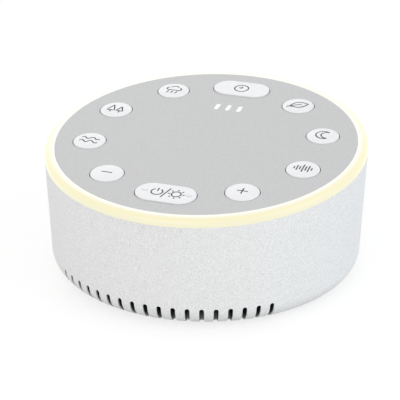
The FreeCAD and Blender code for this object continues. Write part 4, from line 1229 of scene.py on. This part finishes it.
@dataclass
class Studio:
    """White surroundings, soft lamps and the photograph's camera.

    Attributes:
        aim: Point that the camera looks at.
        stand: Where the camera stands.
        lens: Focal length in millimetres on a sensor 36 mm wide.
        shift: Shift of the frame along its width and height.
        floor_side: Side of the floor.
        floor_shade: Screen colour of the floor, as its light reaches the object.
        floor_seen: Screen colour of the floor where a ray sees it.
        floor_lift: Light added where a ray sees the floor.
        ambient: Level of the light from all round.
    """

    aim: Vector = field(default_factory=lambda: Vector((0, 0, 20.9 * MM)))
    stand: Stand = Stand(azimuth=19.0, elevation=25.07, distance=704.0 * MM)
    lens: float = 143.2
    shift: Point = (-0.0149, 0.0376)
    floor_side: float = 6.0
    floor_shade: Colour = (216, 216, 216)
    floor_seen: Colour = (146, 146, 146)
    floor_lift: float = 0.74
    ambient: float = 0.78

    def build(self) -> None:
        """Set up the surroundings, the lamps and the camera."""
        bpy.context.scene.view_settings.view_transform = "Standard"
        self.build_world()
        self.build_floor()
        for lamp in (
            Lamp("key_lamp", Stand(86, 25, 1.6), side=1.3, level=0.24, tint=(0.85, 0.93, 1.0)),
            Lamp("fill_lamp", Stand(-8, 26, 1.8), side=1.4, level=0.19, tint=(1.0, 0.98, 0.88)),
            Lamp("back_lamp", Stand(215, 24, 1.8), side=1.4, level=0.12),
        ):
            lamp.build(self.aim)
        self.build_camera()

    def seen_ray(self, tree: Tree) -> tuple[Node, int]:
        """1 where the camera, a reflection or glass sees the surface, and 0 for its light."""
        rays = tree.add("ShaderNodeLightPath")
        mirrored = tree.math("MAXIMUM", (rays, "Is Glossy Ray"), (rays, "Is Transmission Ray"))
        return tree.math("MAXIMUM", (rays, "Is Camera Ray"), mirrored)

    def build_world(self) -> None:
        """White surroundings that light the object at a plain level."""
        world = bpy.data.worlds.new("surroundings")
        world.use_nodes = True
        bpy.context.scene.world = world
        tree = Tree(world.node_tree)
        world.node_tree.nodes.clear()
        seen = self.seen_ray(tree)
        level = tree.after(*seen, "ShaderNodeMapRange", "Value", To_Min=self.ambient, To_Max=1.0)
        light = tree.after(level, "Result", "ShaderNodeBackground", "Strength",
                           Color=(1, 1, 1, 1))
        tree.after(light, "Background", "ShaderNodeOutputWorld", "Surface")

    def build_floor(self) -> None:
        """A pale floor that keeps the object's shadow."""
        half = self.floor_side / 2
        mesh = bpy.data.meshes.new("floor")
        mesh.from_pydata([(-half, -half, 0), (half, -half, 0), (half, half, 0), (-half, half, 0)],
                         [], [(0, 1, 2, 3)])
        floor = new_piece("floor", mesh)
        sheet = Sheet("floor")
        sheet.fill(sheet.shader, Roughness=0.9, Specular_IOR_Level=0.0,
                   Emission_Color=(1, 1, 1, 1))
        seen = self.seen_ray(sheet)
        tone = sheet.ramp(*seen, ((0.0, self.floor_shade), (1.0, self.floor_seen)))
        sheet.link(tone, "Color", sheet.shader, "Base Color")
        lift = sheet.math("MULTIPLY", seen, self.floor_lift)
        sheet.link(*lift, sheet.shader, "Emission Strength")
        mesh.materials.append(sheet.material)

    def build_camera(self) -> None:
        """The photograph's camera."""
        data = bpy.data.cameras.new("photo_camera")
        data.lens = self.lens
        data.sensor_width = 36
        data.shift_x, data.shift_y = self.shift
        data.clip_start = 0.01
        bpy.context.scene.camera = self.stand.hold("photo_camera", data, self.aim)


def main() -> None:
    """Build every sub-assembly and the studio."""
    logging.basicConfig(level=logging.INFO, format="%(name)s: %(message)s")
    for title, finishes in SUB_ASSEMBLIES.items():
        log.info("dressing the %s", title)
        for finish, nodes in finishes.items():
            dress(finish, *nodes)
    Keys().build()
    Fasteners().build()
    Studio().build()


if __name__ == "__main__":
    main()
